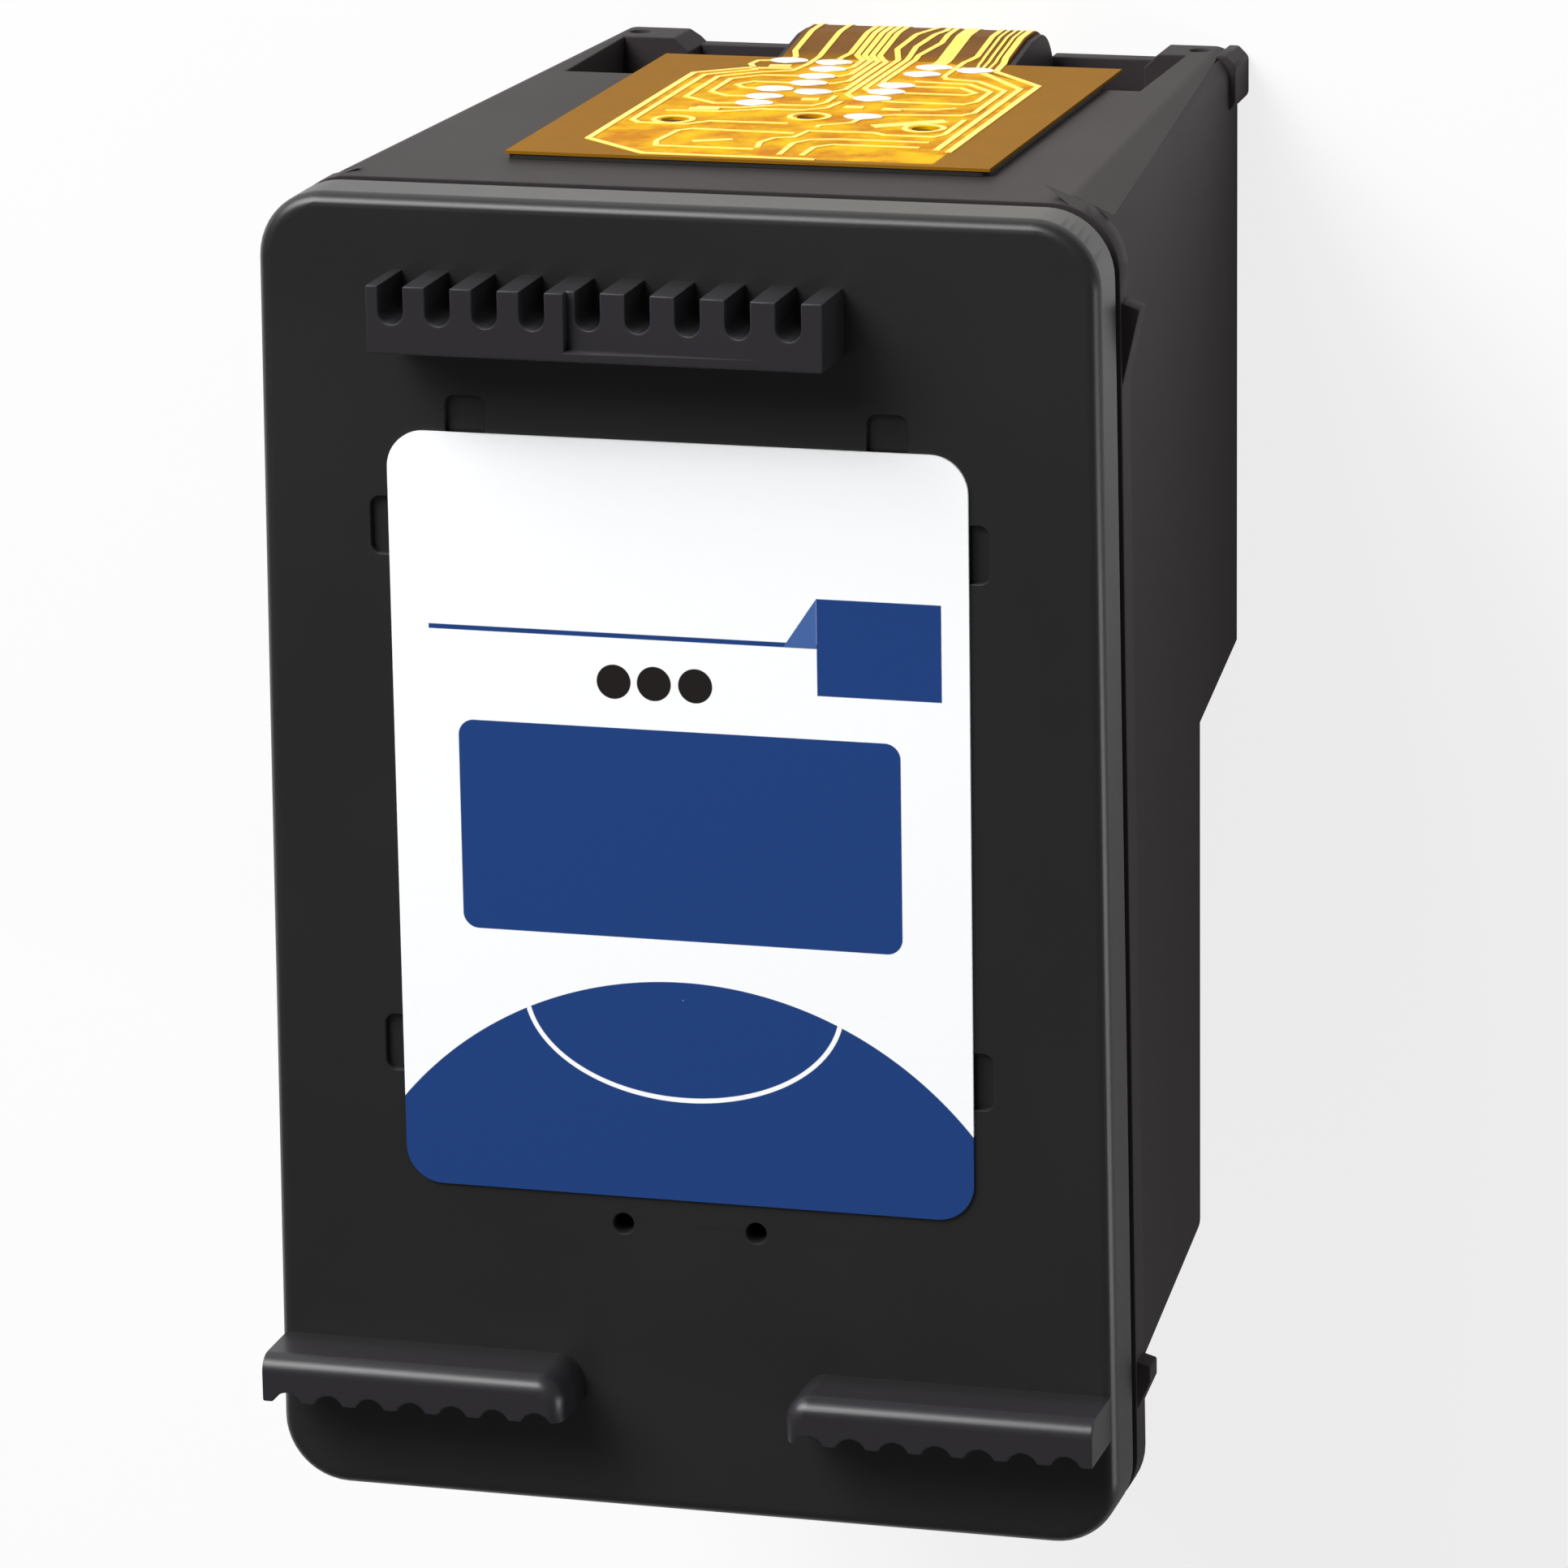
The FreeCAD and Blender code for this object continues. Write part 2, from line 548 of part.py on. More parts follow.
rimY = f"({contactAt('0')} - rimDrop)"
sketch = sketchOn(shell, "RimOutline", "XY_Plane")
postY = f"({contactAt('troughFoot')})"
polygon(sketch, [(rimLeft, rimY), (rimRight, rimY), (f"{rimRight} + postLean", postY),
                 (f"{rimRight} + postLean", "lidLength"), (f"{rimLeft} - postLean", "lidLength"),
                 (f"{rimLeft} - postLean", postY)])
pocket(shell, "RimCut", sketch, "troughFoot", True)

saddleTop = "(flexFoot - tailStart)"
saddleY = f"({contactAt(saddleTop)} + glueThick)"
sketch = sketchOn(shell, "SaddleOutline", "YZ_Plane", "flexCentre - saddleWide / 2")
polygon(sketch, [(f"{troughY} - floorThick / 2", "nozzleSeat"), (crestY, "nozzleSeat"), (crestY, "crestUp"),
                 (saddleY, saddleTop), (f"{troughY} - floorThick / 2", saddleTop)])
pad(shell, "Saddle", sketch, "saddleWide")
crestPlace, seatHeight, crestHeight = worth(crestY), worth("nozzleSeat"), worth("crestUp")


def atCrest(edge, height):
    return level(edge, height) and all(abs(vertex.Y - crestPlace) < 1e-4 for vertex in edge.Vertexes)


roundEdges(shell, "SaddleNose", "noseRound", lambda edge: atCrest(edge, seatHeight))
roundEdges(shell, "SaddleCrest", "crestRound", lambda edge: atCrest(edge, crestHeight))

earRoot, earTip = f"({sideAt('0')} - earReach)", f"({sideAt('0')} + earReach)"
earHigh = f"{contactAt('0')}"
sketch = sketchOn(shell, "EarOutline", "XY_Plane")
polygon(sketch, [(earRoot, f"{earHigh} - earLong"), (sideAt("0"), f"{earHigh} - earLong"),
                 (earTip, f"{earHigh} - earLong + earReach"), (earTip, f"{earHigh} - earReach"),
                 (sideAt("0"), earHigh), (earRoot, earHigh)])
pad(shell, "DatumEar", sketch, "earTall")
earPlace, earTop = worth(earTip), worth("earTall")
roundEdges(shell, "EarEdges", "earRound", lambda edge: (
    all(abs(vertex.X - earPlace) < 1e-4 for vertex in edge.Vertexes)
    and not level(edge, 0) and not level(edge, earTop)))

sketch = sketchOn(shell, "PostHoleOutlines", "XZ_Plane", "-lidLength / 2")
for hand in ("-", ""):
    circle(sketch, f"{hand}postHoleApart / 2", "postHoleUp", "postHole / 2")
pocket(shell, "PostHoles", sketch, "postHoleDeep + contactDraft", True)

# Lid: plate with a toothed grip bar, two fluted finger ribs, a skirt and foam ribs
lid = newBody("cartridge_lid")
sketch = sketchOn(lid, "PlateOutline", "XY_Plane", plateLow)
taperedOutline(sketch, "(lidWidth / 2)", "(lidLength / 2)", "lidCorner")
pad(lid, "Plate", sketch, "lidPlate")
lidFace = worth("cartridgeDepth")
roundEdges(lid, "PlateEdge", "lidEdgeRound", lambda edge: level(edge, lidFace))

skirtLow = f"({plateLow} - skirtTall)"
skirtHalf = f"({sideAt(skirtLow)} - wallThick - skirtClear)"
skirtEnd = f"({endAt(skirtLow)} + wallThick + skirtClear)"
skirtReach = f"({contactAt(skirtLow)} - wallThick - skirtClear)"
sketch = sketchOn(lid, "SkirtOutline", "XY_Plane", plateLow)
roundRectangle(sketch, f"-{skirtHalf}", skirtHalf, skirtEnd, skirtReach, "innerRound")
rectangle(sketch, f"skirtThick - {skirtHalf}", f"{skirtHalf} - skirtThick",
          f"{skirtEnd} + skirtThick", f"{skirtReach} - skirtThick")
pad(lid, "Skirt", sketch, "skirtTall", True)

ribHalf = f"({sideAt(foamHigh)} - wallThick - skirtClear - skirtThick / 2)"
sketch = sketchOn(lid, "FoamRibOutlines", "XY_Plane", plateLow)
for place in ("-ribPitch", "0", "ribPitch"):
    rectangle(sketch, f"-{ribHalf}", ribHalf, f"{place} - ribThick / 2", f"{place} + ribThick / 2")
pad(lid, "FoamRibs", sketch, "foamTop", True)

gripEnd, gripHigh = "(gripStart + gripLong)", f"({gripLow} + gripTall)"
sketch = sketchOn(lid, "GripOutline", "XY_Plane", "cartridgeDepth")
rectangle(sketch, "gripStart", gripEnd, gripLow, gripHigh)
pad(lid, "GripBar", sketch, "gripProud")

sketch = sketchOn(lid, "FacetOutline", "XZ_Plane", f"-{gripHigh}")
gripTop = "(cartridgeDepth + gripProud)"
facetLeft = "(gripStart + facetStart)"
polygon(sketch, [(facetLeft, f"{gripTop} - facetDeep"), (f"{facetLeft} + facetLong", gripTop),
                 (facetLeft, gripTop)])
pocket(lid, "LeaningFacet", sketch, "gripTall - facetLedge", True)


def slit(name, start):
    """U-shaped slit through the grip bar, open at the tooth tips."""
    sketch = sketchOn(lid, name + "Outline", "XY_Plane", gripTop)
    middle = f"(gripStart + {start})"
    left, right = f"({middle} - slitWide / 2)", f"({middle} + slitWide / 2)"
    deep = f"({gripHigh} - slitDeep)"
    bend = f"({deep} + slitWide / 2)"
    mouth = f"({gripHigh} + slitDeep)"
    radius = worth("slitWide / 2")
    corners = [Vector(worth(x), worth(y), 0) for x, y in
               ((right, bend), (right, mouth), (left, mouth), (left, bend))]
    curve = Part.Circle(Vector(worth(middle), worth(bend), 0), Vector(0, 0, 1), radius)
    sketch.addGeometry([Part.LineSegment(corners[number], corners[number + 1]) for number in range(3)])
    sketch.addGeometry(Part.ArcOfCircle(curve, math.pi, 2 * math.pi))
    sketch.addConstraint([
        Sketcher.Constraint("Coincident", 0, 2, 1, 1), Sketcher.Constraint("Coincident", 1, 2, 2, 1),
        Sketcher.Constraint("Tangent", 2, 2, 3, 1), Sketcher.Constraint("Tangent", 3, 2, 0, 1),
        Sketcher.Constraint("Vertical", 0), Sketcher.Constraint("Vertical", 2),
        Sketcher.Constraint("Horizontal", 1)])
    dimensions(sketch, [("DistanceX", (-1, 1, 0, 1), right), ("DistanceX", (-1, 1, 2, 1), left),
                        ("DistanceY", (-1, 1, 3, 3), bend), ("DistanceY", (-1, 1, 1, 1), mouth)])
    return pocket(lid, name, sketch, "gripProud")


repeated(lid, "LeftSlits", slit("LeftSlit", "leftSlit"), "X_Axis", "leftPitch", "leftCount")
repeated(lid, "RightSlits", slit("RightSlit", "rightSlit"), "X_Axis", "rightPitch", "rightCount")

ribTop = "(cartridgeDepth + wingProud)"
wingLow = f"({wingHigh} - wingTall)"
fluteY = f"({wingLow} - fluteRadius + fluteDeep)"
for side, near, far in (("Left", "-lidWidth / 2", "-wingInner"), ("Right", "wingInner", "lidWidth / 2")):
    sketch = sketchOn(lid, side + "RibOutline", "XY_Plane", "cartridgeDepth - lidPlate / 2")
    rectangle(sketch, near, far, wingLow, wingHigh)
    pad(lid, side + "Rib", sketch, "wingProud + lidPlate / 2")
    ridgeHeight, ridgeY = worth(ribTop), worth(wingHigh)
    inner = worth(far if side == "Left" else near)
    roundEdges(lid, side + "RibEnd", "wingEnd", lambda edge: (
        all(abs(vertex.X - inner) < 1e-4 and abs(vertex.Y - ridgeY) < 1e-4 for vertex in edge.Vertexes)))
    xLow, xHigh = sorted((worth(near), worth(far)))
    outer = xLow if side == "Left" else xHigh
    roundEdges(lid, side + "RibRidge", "wingRidge", lambda edge: (
        level(edge, ridgeHeight) and xLow - 1e-4 < edge.CenterOfMass.x < xHigh + 1e-4
        and abs(edge.CenterOfMass.x - outer) > 1e-4
        and worth(wingLow) + 1e-4 < edge.CenterOfMass.y < ridgeY + 1e-4))
    sketch = sketchOn(lid, side + "FluteOutline", "XY_Plane", ribTop)
    circle(sketch, f"{near} + fluteStart", fluteY, "fluteRadius")
    flute = pocket(lid, side + "Flute", sketch, "wingProud")
    repeated(lid, side + "Flutes", flute, "X_Axis", "flutePitch", "fluteCount")

labelEdge = "(labelMiddle + labelLong / 2)"
sketch = sketchOn(lid, "NotchOutlines", "XY_Plane", "cartridgeDepth")
for hand in ("-", ""):
    left, right = f"{hand}notchApart / 2 - notchWide / 2", f"{hand}notchApart / 2 + notchWide / 2"
    roundRectangle(sketch, left, right, f"{labelEdge} - notchPeek", f"{labelEdge} + notchPeek", "notchWide / 4")
for place in ("notchUpper", "notchLower"):
    for near, far in (("-labelWide / 2 - notchSide", "-labelWide / 2 + notchSide"),
                      ("labelWide / 2 - notchSide", "labelWide / 2 + notchSide")):
        roundRectangle(sketch, near, far, f"{place} - notchTall / 2", f"{place} + notchTall / 2", "notchWide / 4")
pocket(lid, "Notches", sketch, "notchDeep")

sketch = sketchOn(lid, "VentOutlines", "XY_Plane", "cartridgeDepth")
for hand in ("-", ""):
    circle(sketch, f"{hand}ventApart / 2", "ventSetback - lidLength / 2", "ventHole / 2")
pocket(lid, "Vents", sketch, "lidPlate")

# Label on the flat of the lid
label = newBody("label")
sketch = sketchOn(label, "LabelOutline", "XY_Plane", "cartridgeDepth")
roundRectangle(sketch, "-labelWide / 2", "labelWide / 2",
               "labelMiddle - labelLong / 2", labelEdge, "labelCorner")
pad(label, "Sheet", sketch, "labelThick")

# Foam block, stepped to the chamber's two floors and hollowed over the standpipe
foam = newBody("ink_foam")
sketch = sketchOn(foam, "UpperFoamOutline", "XY_Plane", chamberHigh)
foamHalf = f"({sideAt(chamberHigh)} - wallThick - foamClear)"
roundRectangle(sketch, f"-{foamHalf}", foamHalf, f"{endAt(chamberHigh)} + wallThick + foamClear",
               f"{contactAt(chamberHigh)} - wallThick - foamClear", "innerRound")
pad(foam, "UpperFoam", sketch, f"{foamHigh} - {chamberHigh}")
sketch = sketchOn(foam, "LowerFoamOutline", "XY_Plane", chamberLow)
roundRectangle(sketch, f"foamClear - {lowHalf}", f"{lowHalf} - foamClear", f"{lowEnd} + foamClear",
               f"{lowReach} - foamClear", "innerRound")
pad(foam, "LowerFoam", sketch, f"{chamberHigh} - {chamberLow}")
sketch = sketchOn(foam, "StandpipeReliefOutline", "XY_Plane", chamberLow)
rectangle(sketch, f"{towerX[0]} - foamClear", f"{towerX[1]} + foamClear",
          f"{towerY[0]} - foamClear", f"{towerY[1]} + foamClear")
pocket(foam, "StandpipeRelief", sketch, "towerRise + screenThick", True)

# Filter screen on the mouth of the standpipe
screen = newBody("filter_screen")
sketch = sketchOn(screen, "ScreenOutline", "XY_Plane", towerTop)
roundRectangle(sketch, *towerX, *towerY, "innerRound")
pad(screen, "Mesh", sketch, "screenThick")


# Parts on the leaning contact face: local x across, y away from the lid, z outwards
def onContactFace(name):
    body = newBody(name)
    body.Placement = FreeCAD.Placement(Vector(), FreeCAD.Rotation(Vector(-1, 0, 0), 90))
    bind(body, "Placement.Base.x", "flexCentre")
    bind(body, "Placement.Base.y", contactAt(flexHigh))
    bind(body, "Placement.Base.z", flexHigh)
    bind(body, "Placement.Rotation.Angle", f"90 deg + atan(contactDraft / {flangeLow})")
    return body


glue = onContactFace("flex_adhesive")
sketch = sketchOn(glue, "AdhesiveOutline", "XY_Plane")
rectangle(sketch, "glueInset - flexWide / 2", "flexWide / 2 - glueInset", "glueInset",
          f"{flexHigh} - troughTop - glueInset / 2")
pad(glue, "AdhesiveSheet", sketch, "glueThick")

pads = onContactFace("contact_pads")
sketch = sketchOn(pads, "PadOutlines", "XY_Plane", "glueThick + filmThick")
for across, start, pitch, count in padColumns:
    for number in range(count):
        along = f"{flexHigh} - flexFoot - {start + pitch * number}"
        polygon(sketch, [(f"{across} + {x} * padWide", f"{along} + {y} * padTall") for x, y in padCorners])
copper = pads.newObject("PartDesign::Pad", "Copper")
copper.Profile = sketch
bind(copper, "Length", "padThick")
doc.recompute()


# Film: flat on the contact face, then a tail over the saddle and under the nose
def shifted(corners, distance):
    """Corners of the parallel path, to the right of the way along it."""
    ways = [(b - a).normalize() for a, b in zip(corners, corners[1:])]
    sides = [Vector(way.y, -way.x, 0) for way in ways]
    moved = [corners[0] + sides[0] * distance]
    for number in range(1, len(ways)):
        lean = 1 + sides[number - 1].dot(sides[number])
        moved.append(corners[number] + (sides[number - 1] + sides[number]) * (distance / lean))
    moved.append(corners[-1] + sides[-1] * distance)
    return moved


def bentPath(corners, radii):
    """Straight runs joined by tangent arcs, one radius for each inner corner."""
    edges = []
    start = corners[0]
    for number, radius in enumerate(radii, 1):
        corner = corners[number]
        back = (corners[number - 1] - corner).normalize()
        ahead = (corners[number + 1] - corner).normalize()
        half = back.getAngle(ahead) / 2
        reach = radius / math.tan(half)
        inward = (back + ahead).normalize()
        middle = corner + inward * (radius / math.sin(half) - radius)
        edges.append(Part.LineSegment(start, corner + back * reach).toShape())
        edges.append(Part.Arc(corner + back * reach, middle, corner + ahead * reach).toShape())
        start = corner + ahead * reach
    edges.append(Part.LineSegment(start, corners[-1]).toShape())
    return edges


def bentStrip(corners, radii, bends, thickness, left, right):
    """A strip of the given thickness bent along a path in the YZ plane, from left to right."""
    outer = shifted(corners, thickness)
    outerRadii = [radius + bend * thickness for radius, bend in zip(radii, bends)]
    inside = bentPath(corners, radii)
    outside = bentPath(outer, outerRadii)
    ends = [Part.LineSegment(corners[0], outer[0]).toShape(), Part.LineSegment(corners[-1], outer[-1]).toShape()]
    face = Part.Face(Part.Wire(Part.__sortEdges__(inside + outside + ends)))
    solid = face.extrude(Vector(0, 0, right - left))
    solid.rotate(Vector(), Vector(1, 1, 1), 120)
    solid.translate(Vector(left, 0, 0))
    return solid


def glueFace(height):
    return Vector(worth(f"{contactAt(str(height))} + glueThick"), height, 0)


flexMiddle = worth("flexCentre")
tailHalf = worth("tailWide / 2")
flexHalf = worth("flexWide / 2")
film = worth("filmThick")
turns = [Vector(worth(f"{recessBack} + filmBackGap"), seatHeight, 0), Vector(crestPlace, seatHeight, 0),
         Vector(crestPlace, crestHeight, 0), glueFace(worth(saddleTop)), glueFace(worth(flexHigh))]
tail = bentStrip(turns, [worth("noseRound"), worth("crestRound"), worth("bendRound")], [1, 1, -1], film,
                 flexMiddle - tailHalf, flexMiddle + tailHalf)
flat = bentStrip([glueFace(worth("flexFoot")), glueFace(worth(flexHigh))], [], [], film,
                 flexMiddle - flexHalf, flexMiddle + flexHalf)
windowX = worth("dieWide + 2 * windowClear")
windowY = worth("dieLong + 2 * windowClear")
window = Part.makeBox(windowX, windowY, seatHeight,
                      Vector(flexMiddle - windowX / 2, worth(dieMiddle) - windowY / 2, 0))
cutters = [window]
for across, along in (("-toolApart", "toolOuter"), ("0", "toolMiddle"), ("toolApart", "toolOuter")):
    start = Vector(flexMiddle + worth(across), 0, worth(f"{flexHigh} - {along}"))
    cutters.append(Part.makeCylinder(worth("toolHole / 2"), worth("lidLength"), start, Vector(0, 1, 0)))
flex = doc.addObject("Part::Feature", "flex_film")
flex.Label = "flex_film"
flex.Shape = tail.fuse(flat).removeSplitter().cut(cutters)
flex.Placement = FreeCAD.Placement()


# Parts of the print head, all about the die's middle
def slab(name, low, thick, halfWide, spans, radius=None):
    """Flat piece between two heights, with one outline for each span along the die."""
    body = newBody(name)
    sketch = sketchOn(body, name + "_outline", "XY_Plane", low)
    left, right = f"flexCentre - {halfWide}", f"flexCentre + {halfWide}"
    for start, end in spans:
        if radius:
            roundRectangle(sketch, left, right, start, end, radius)
        else:
            rectangle(sketch, left, right, start, end)
    feature = body.newObject("PartDesign::Pad", name + "_pad")
    feature.Profile = sketch
    bind(feature, "Length", thick)
    doc.recompute()
    return body


dieSpan = (f"{dieMiddle} - dieLong / 2", f"{dieMiddle} + dieLong / 2")
slab("printhead_die", dieLow, "dieThick", "dieWide / 2", [dieSpan])
bed = newBody("die_adhesive")
sketch = sketchOn(bed, "BedOutline", "XY_Plane", f"{dieLow} + dieThick")
rectangle(sketch, "flexCentre - dieWide / 2", "flexCentre + dieWide / 2", *dieSpan)
rectangle(sketch, "flexCentre - slotWide / 2", "flexCentre + slotWide / 2",
          f"{dieMiddle} - slotLong / 2", f"{dieMiddle} + slotLong / 2")
pad(bed, "Bed", sketch, "dieGlue")
plateHalf = "(dieLong / 2 - beadOnDie - plateInset)"
slab("nozzle_plate", f"{dieLow} - plateThick", "plateThick", "(dieWide / 2 - plateInset)",
     [(f"{dieMiddle} - {plateHalf}", f"{dieMiddle} + {plateHalf}")])
beadIn, beadOut = "(dieLong / 2 - beadOnDie)", "(dieLong / 2 + windowClear + beadOnFilm)"
slab("bond_beads", f"{dieLow} - beadThick", "beadThick", "(dieWide / 2 + windowClear)",
     [(f"{dieMiddle} - {beadOut}", f"{dieMiddle} - {beadIn}"),
      (f"{dieMiddle} + {beadIn}", f"{dieMiddle} + {beadOut}")],
     "beadOnFilm / 2")

doc.recompute()
nodes = ["cartridge_body", "cartridge_lid", "label", "ink_foam", "filter_screen", "flex_adhesive",
         "flex_film", "contact_pads", "printhead_die", "die_adhesive", "nozzle_plate", "bond_beads"]
for thing in doc.Objects:
    if "Invalid" in thing.State or "Error" in thing.State:
        raise RuntimeError(f"{thing.Label} failed: {thing.State}")
byLabel = {thing.Label: thing for thing in doc.Objects}
for node in nodes:
    shape = byLabel[node].Shape
    if shape.isNull() or not shape.isValid() or not shape.Solids:
        raise RuntimeError(f"{node} has no valid solid")
os.makedirs("parts", exist_ok=True)
for node in nodes:
    shape = byLabel[node].Shape
    shape.exportStep(f"parts/{node}.step")
    print(f"{node}: {len(shape.Solids)} solids, {shape.Volume:.2f} mm3")
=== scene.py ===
import bmesh
import bpy
import math
from mathutils import Matrix, Vector


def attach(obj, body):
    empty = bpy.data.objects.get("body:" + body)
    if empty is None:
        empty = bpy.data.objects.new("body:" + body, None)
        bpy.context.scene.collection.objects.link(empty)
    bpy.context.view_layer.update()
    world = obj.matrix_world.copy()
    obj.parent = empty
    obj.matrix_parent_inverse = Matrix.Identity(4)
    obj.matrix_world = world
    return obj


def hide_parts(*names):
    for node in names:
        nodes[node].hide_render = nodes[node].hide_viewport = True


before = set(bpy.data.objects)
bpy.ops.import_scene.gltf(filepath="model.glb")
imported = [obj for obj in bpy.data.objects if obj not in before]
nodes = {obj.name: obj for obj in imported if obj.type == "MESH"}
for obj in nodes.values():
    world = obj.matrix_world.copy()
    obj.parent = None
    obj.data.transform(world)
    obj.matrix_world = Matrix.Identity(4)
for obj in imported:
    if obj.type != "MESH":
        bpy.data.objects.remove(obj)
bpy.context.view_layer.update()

mm = 0.001
print("frame loaded, nodes:", len(nodes))


# Shader sockets as values: arithmetic on them adds Math nodes

class Signal:
    def __init__(self, finish, socket):
        self.finish = finish
        self.socket = socket

    def __add__(self, other):
        return self.finish.maths("ADD", self, other)

    def __sub__(self, other):
        return self.finish.maths("SUBTRACT", self, other)

    def __rsub__(self, other):
        return self.finish.maths("SUBTRACT", other, self)

    def __mul__(self, other):
        return self.finish.maths("MULTIPLY", self, other)

    def __truediv__(self, other):
        return self.finish.maths("DIVIDE", self, other)

    __radd__ = __add__
    __rmul__ = __mul__


class Finish:
    def __init__(self, name):
        self.material = bpy.data.materials.new(name)
        self.material.use_nodes = True
        self.tree = self.material.node_tree
        self.shader = self.tree.nodes["Principled BSDF"]

    def feed(self, socket, value):
        if isinstance(value, Signal):
            self.tree.links.new(value.socket, socket)
        else:
            socket.default_value = value

    def node(self, kind, settings=None, inputs=None, output=0):
        made = self.tree.nodes.new(kind)
        for key, value in (settings or {}).items():
            setattr(made, key, value)
        for key, value in (inputs or {}).items():
            self.feed(made.inputs[key], value)
        return Signal(self, made.outputs[output])

    def maths(self, operation, *values):
        return self.node("ShaderNodeMath", {"operation": operation}, dict(enumerate(values)))

    def clamped(self, value):
        return self.node("ShaderNodeClamp", None, {"Value": value})

    def millimetres(self):
        # object coordinates, so patterns are given in millimetres of the row frame
        place = self.node("ShaderNodeTexCoord", output="Object")
        return self.node("ShaderNodeVectorMath", {"operation": "SCALE"}, {0: place, "Scale": 1 / mm})

    def split(self, vector):
        apart = self.node("ShaderNodeSeparateXYZ", None, {0: vector})
        return [Signal(self, socket) for socket in apart.socket.node.outputs]

    def noise(self, vector, scale, detail=2.0, rough=0.5):
        return self.node("ShaderNodeTexNoise", None, {
            "Vector": vector, "Scale": scale, "Detail": detail, "Roughness": rough}, "Fac")

    def blend(self, factor, first, second):
        return self.node("ShaderNodeMix", {"data_type": "RGBA"}, {0: factor, 6: first, 7: second}, 2)

    def bump(self, height, strength, distance):
        return self.node("ShaderNodeBump", None, {
            "Height": height, "Strength": strength, "Distance": distance})

    def surface(self, **values):
        for key, value in values.items():
            self.feed(self.shader.inputs[key.replace("_", " ")], value)
        return self.material


def rgb(*levels):
    # colour as seen on screen, 0 to 255, to scene linear
    shares = [level / 255 for level in levels]
    return (*[((v + 0.055) / 1.055) ** 2.4 if v > 0.04045 else v / 12.92 for v in shares], 1)


def toned(color, share):
    return tuple(v * share for v in color[:3]) + (1,)


def paint(thing, material):
    thing.data.materials.clear()
    thing.data.materials.append(material)
    for face in thing.data.polygons:
        face.material_index = 0


def newPiece(name, shape, material, smooth=True):
    mesh = bpy.data.meshes.new(name)
    bmesh.ops.recalc_face_normals(shape, faces=shape.faces)
    shape.to_mesh(mesh)
    shape.free()
    thing = bpy.data.objects.new(name, mesh)
    bpy.context.scene.collection.objects.link(thing)
    mesh.materials.append(material)
    for face in mesh.polygons:
        face.use_smooth = smooth
    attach(thing, "root")
    return thing


# Moulded black plastic of the lid and body

plastic = {
    "lidColor": rgb(31, 31, 31),
    "raisedColor": rgb(39, 37, 41),
    "raisedAbove": 38.4,
    "bodyColor": rgb(52, 48, 49),
    "lidGloss": (0.36, 0.42),
    "bodyGloss": (0.48, 0.05),
    "mottle": 0.14,
    "toneMix": (0.7, 0.5, -0.1),
    "roughMix": (0.1, 0.06, -0.08),
    "cloudNoise": (0.12, 3.0),
    "grainNoise": (9.0, 2.0, 0.6),
    "grainStrength": 0.2,
    "grainDeep": 0.006 * mm,
    "lidEdge": 0.09 * mm,
    "lidRoundedAbove": 37.8 * mm,
    "bodyEdge": 0.07 * mm,
    "bodyRoundedAbove": -math.inf,
    "edgeSteps": 2,
    "sharpEdge": math.radians(38),
    "shadeSplit": math.radians(31),
    "flatEdge": math.radians(1),
    "weld": 0.012 * mm,
}


def mouldedPlastic(name, color, gloss, raised=None):
    finish = Finish(name)
    roughness, specular = gloss
    place = finish.millimetres()
    broad = finish.noise(place, *plastic["cloudNoise"])
    grain = finish.noise(place, *plastic["grainNoise"])
    broadTone, grainTone, baseTone = plastic["toneMix"]
    broadRough, grainRough, baseRough = plastic["roughMix"]
    shade = finish.blend(finish.clamped(broad * broadTone + grain * grainTone + baseTone),
                         toned(color, 1 - plastic["mottle"]), toned(color, 1 + plastic["mottle"]))
    if raised:
        # the grip bar and the ribs stand in a slightly warmer grey than the plate
        height = finish.split(place)[2]
        shade = finish.blend(finish.clamped(height - plastic["raisedAbove"]), shade, raised)
    normal = finish.bump(grain, plastic["grainStrength"], plastic["grainDeep"])
    rough = broad * broadRough + grain * grainRough + (roughness + baseRough)
    return finish.surface(Base_Color=shade, Roughness=rough, Specular_IOR_Level=specular, Normal=normal)


lidPlastic = mouldedPlastic("lidPlastic", plastic["lidColor"], plastic["lidGloss"],
                            plastic["raisedColor"])
bodyPlastic = mouldedPlastic("bodyPlastic", plastic["bodyColor"], plastic["bodyGloss"])


def softMoulding(node, name, material, lowest, offset):
    # a welded copy of the moulding with its outward edges rounded, as they leave the tool
    shape = bmesh.new()
    shape.from_mesh(nodes[node].data)
    bmesh.ops.remove_doubles(shape, verts=shape.verts, dist=plastic["weld"])
    bmesh.ops.dissolve_degenerate(shape, edges=shape.edges, dist=plastic["weld"])
    bmesh.ops.dissolve_limit(shape, verts=shape.verts, edges=shape.edges, angle_limit=plastic["flatEdge"],
                             use_dissolve_boundaries=False)
    sharp = [edge for edge in shape.edges
             if edge.is_manifold and edge.is_convex and edge.calc_face_angle() > plastic["sharpEdge"]
             and min(vert.co.z for vert in edge.verts) > lowest]
    bmesh.ops.bevel(shape, geom=sharp, offset=offset, offset_type="OFFSET", affect="EDGES",
                    segments=plastic["edgeSteps"], profile=0.5, material=-1, clamp_overlap=False)
    for edge in shape.edges:
        edge.smooth = not edge.is_manifold or edge.calc_face_angle() < plastic["shadeSplit"]
    piece = newPiece(name, shape, material)
    weighted = piece.modifiers.new("evenShade", "WEIGHTED_NORMAL")
    weighted.keep_sharp = True
    weighted.weight = 100
    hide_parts(node)
    return piece


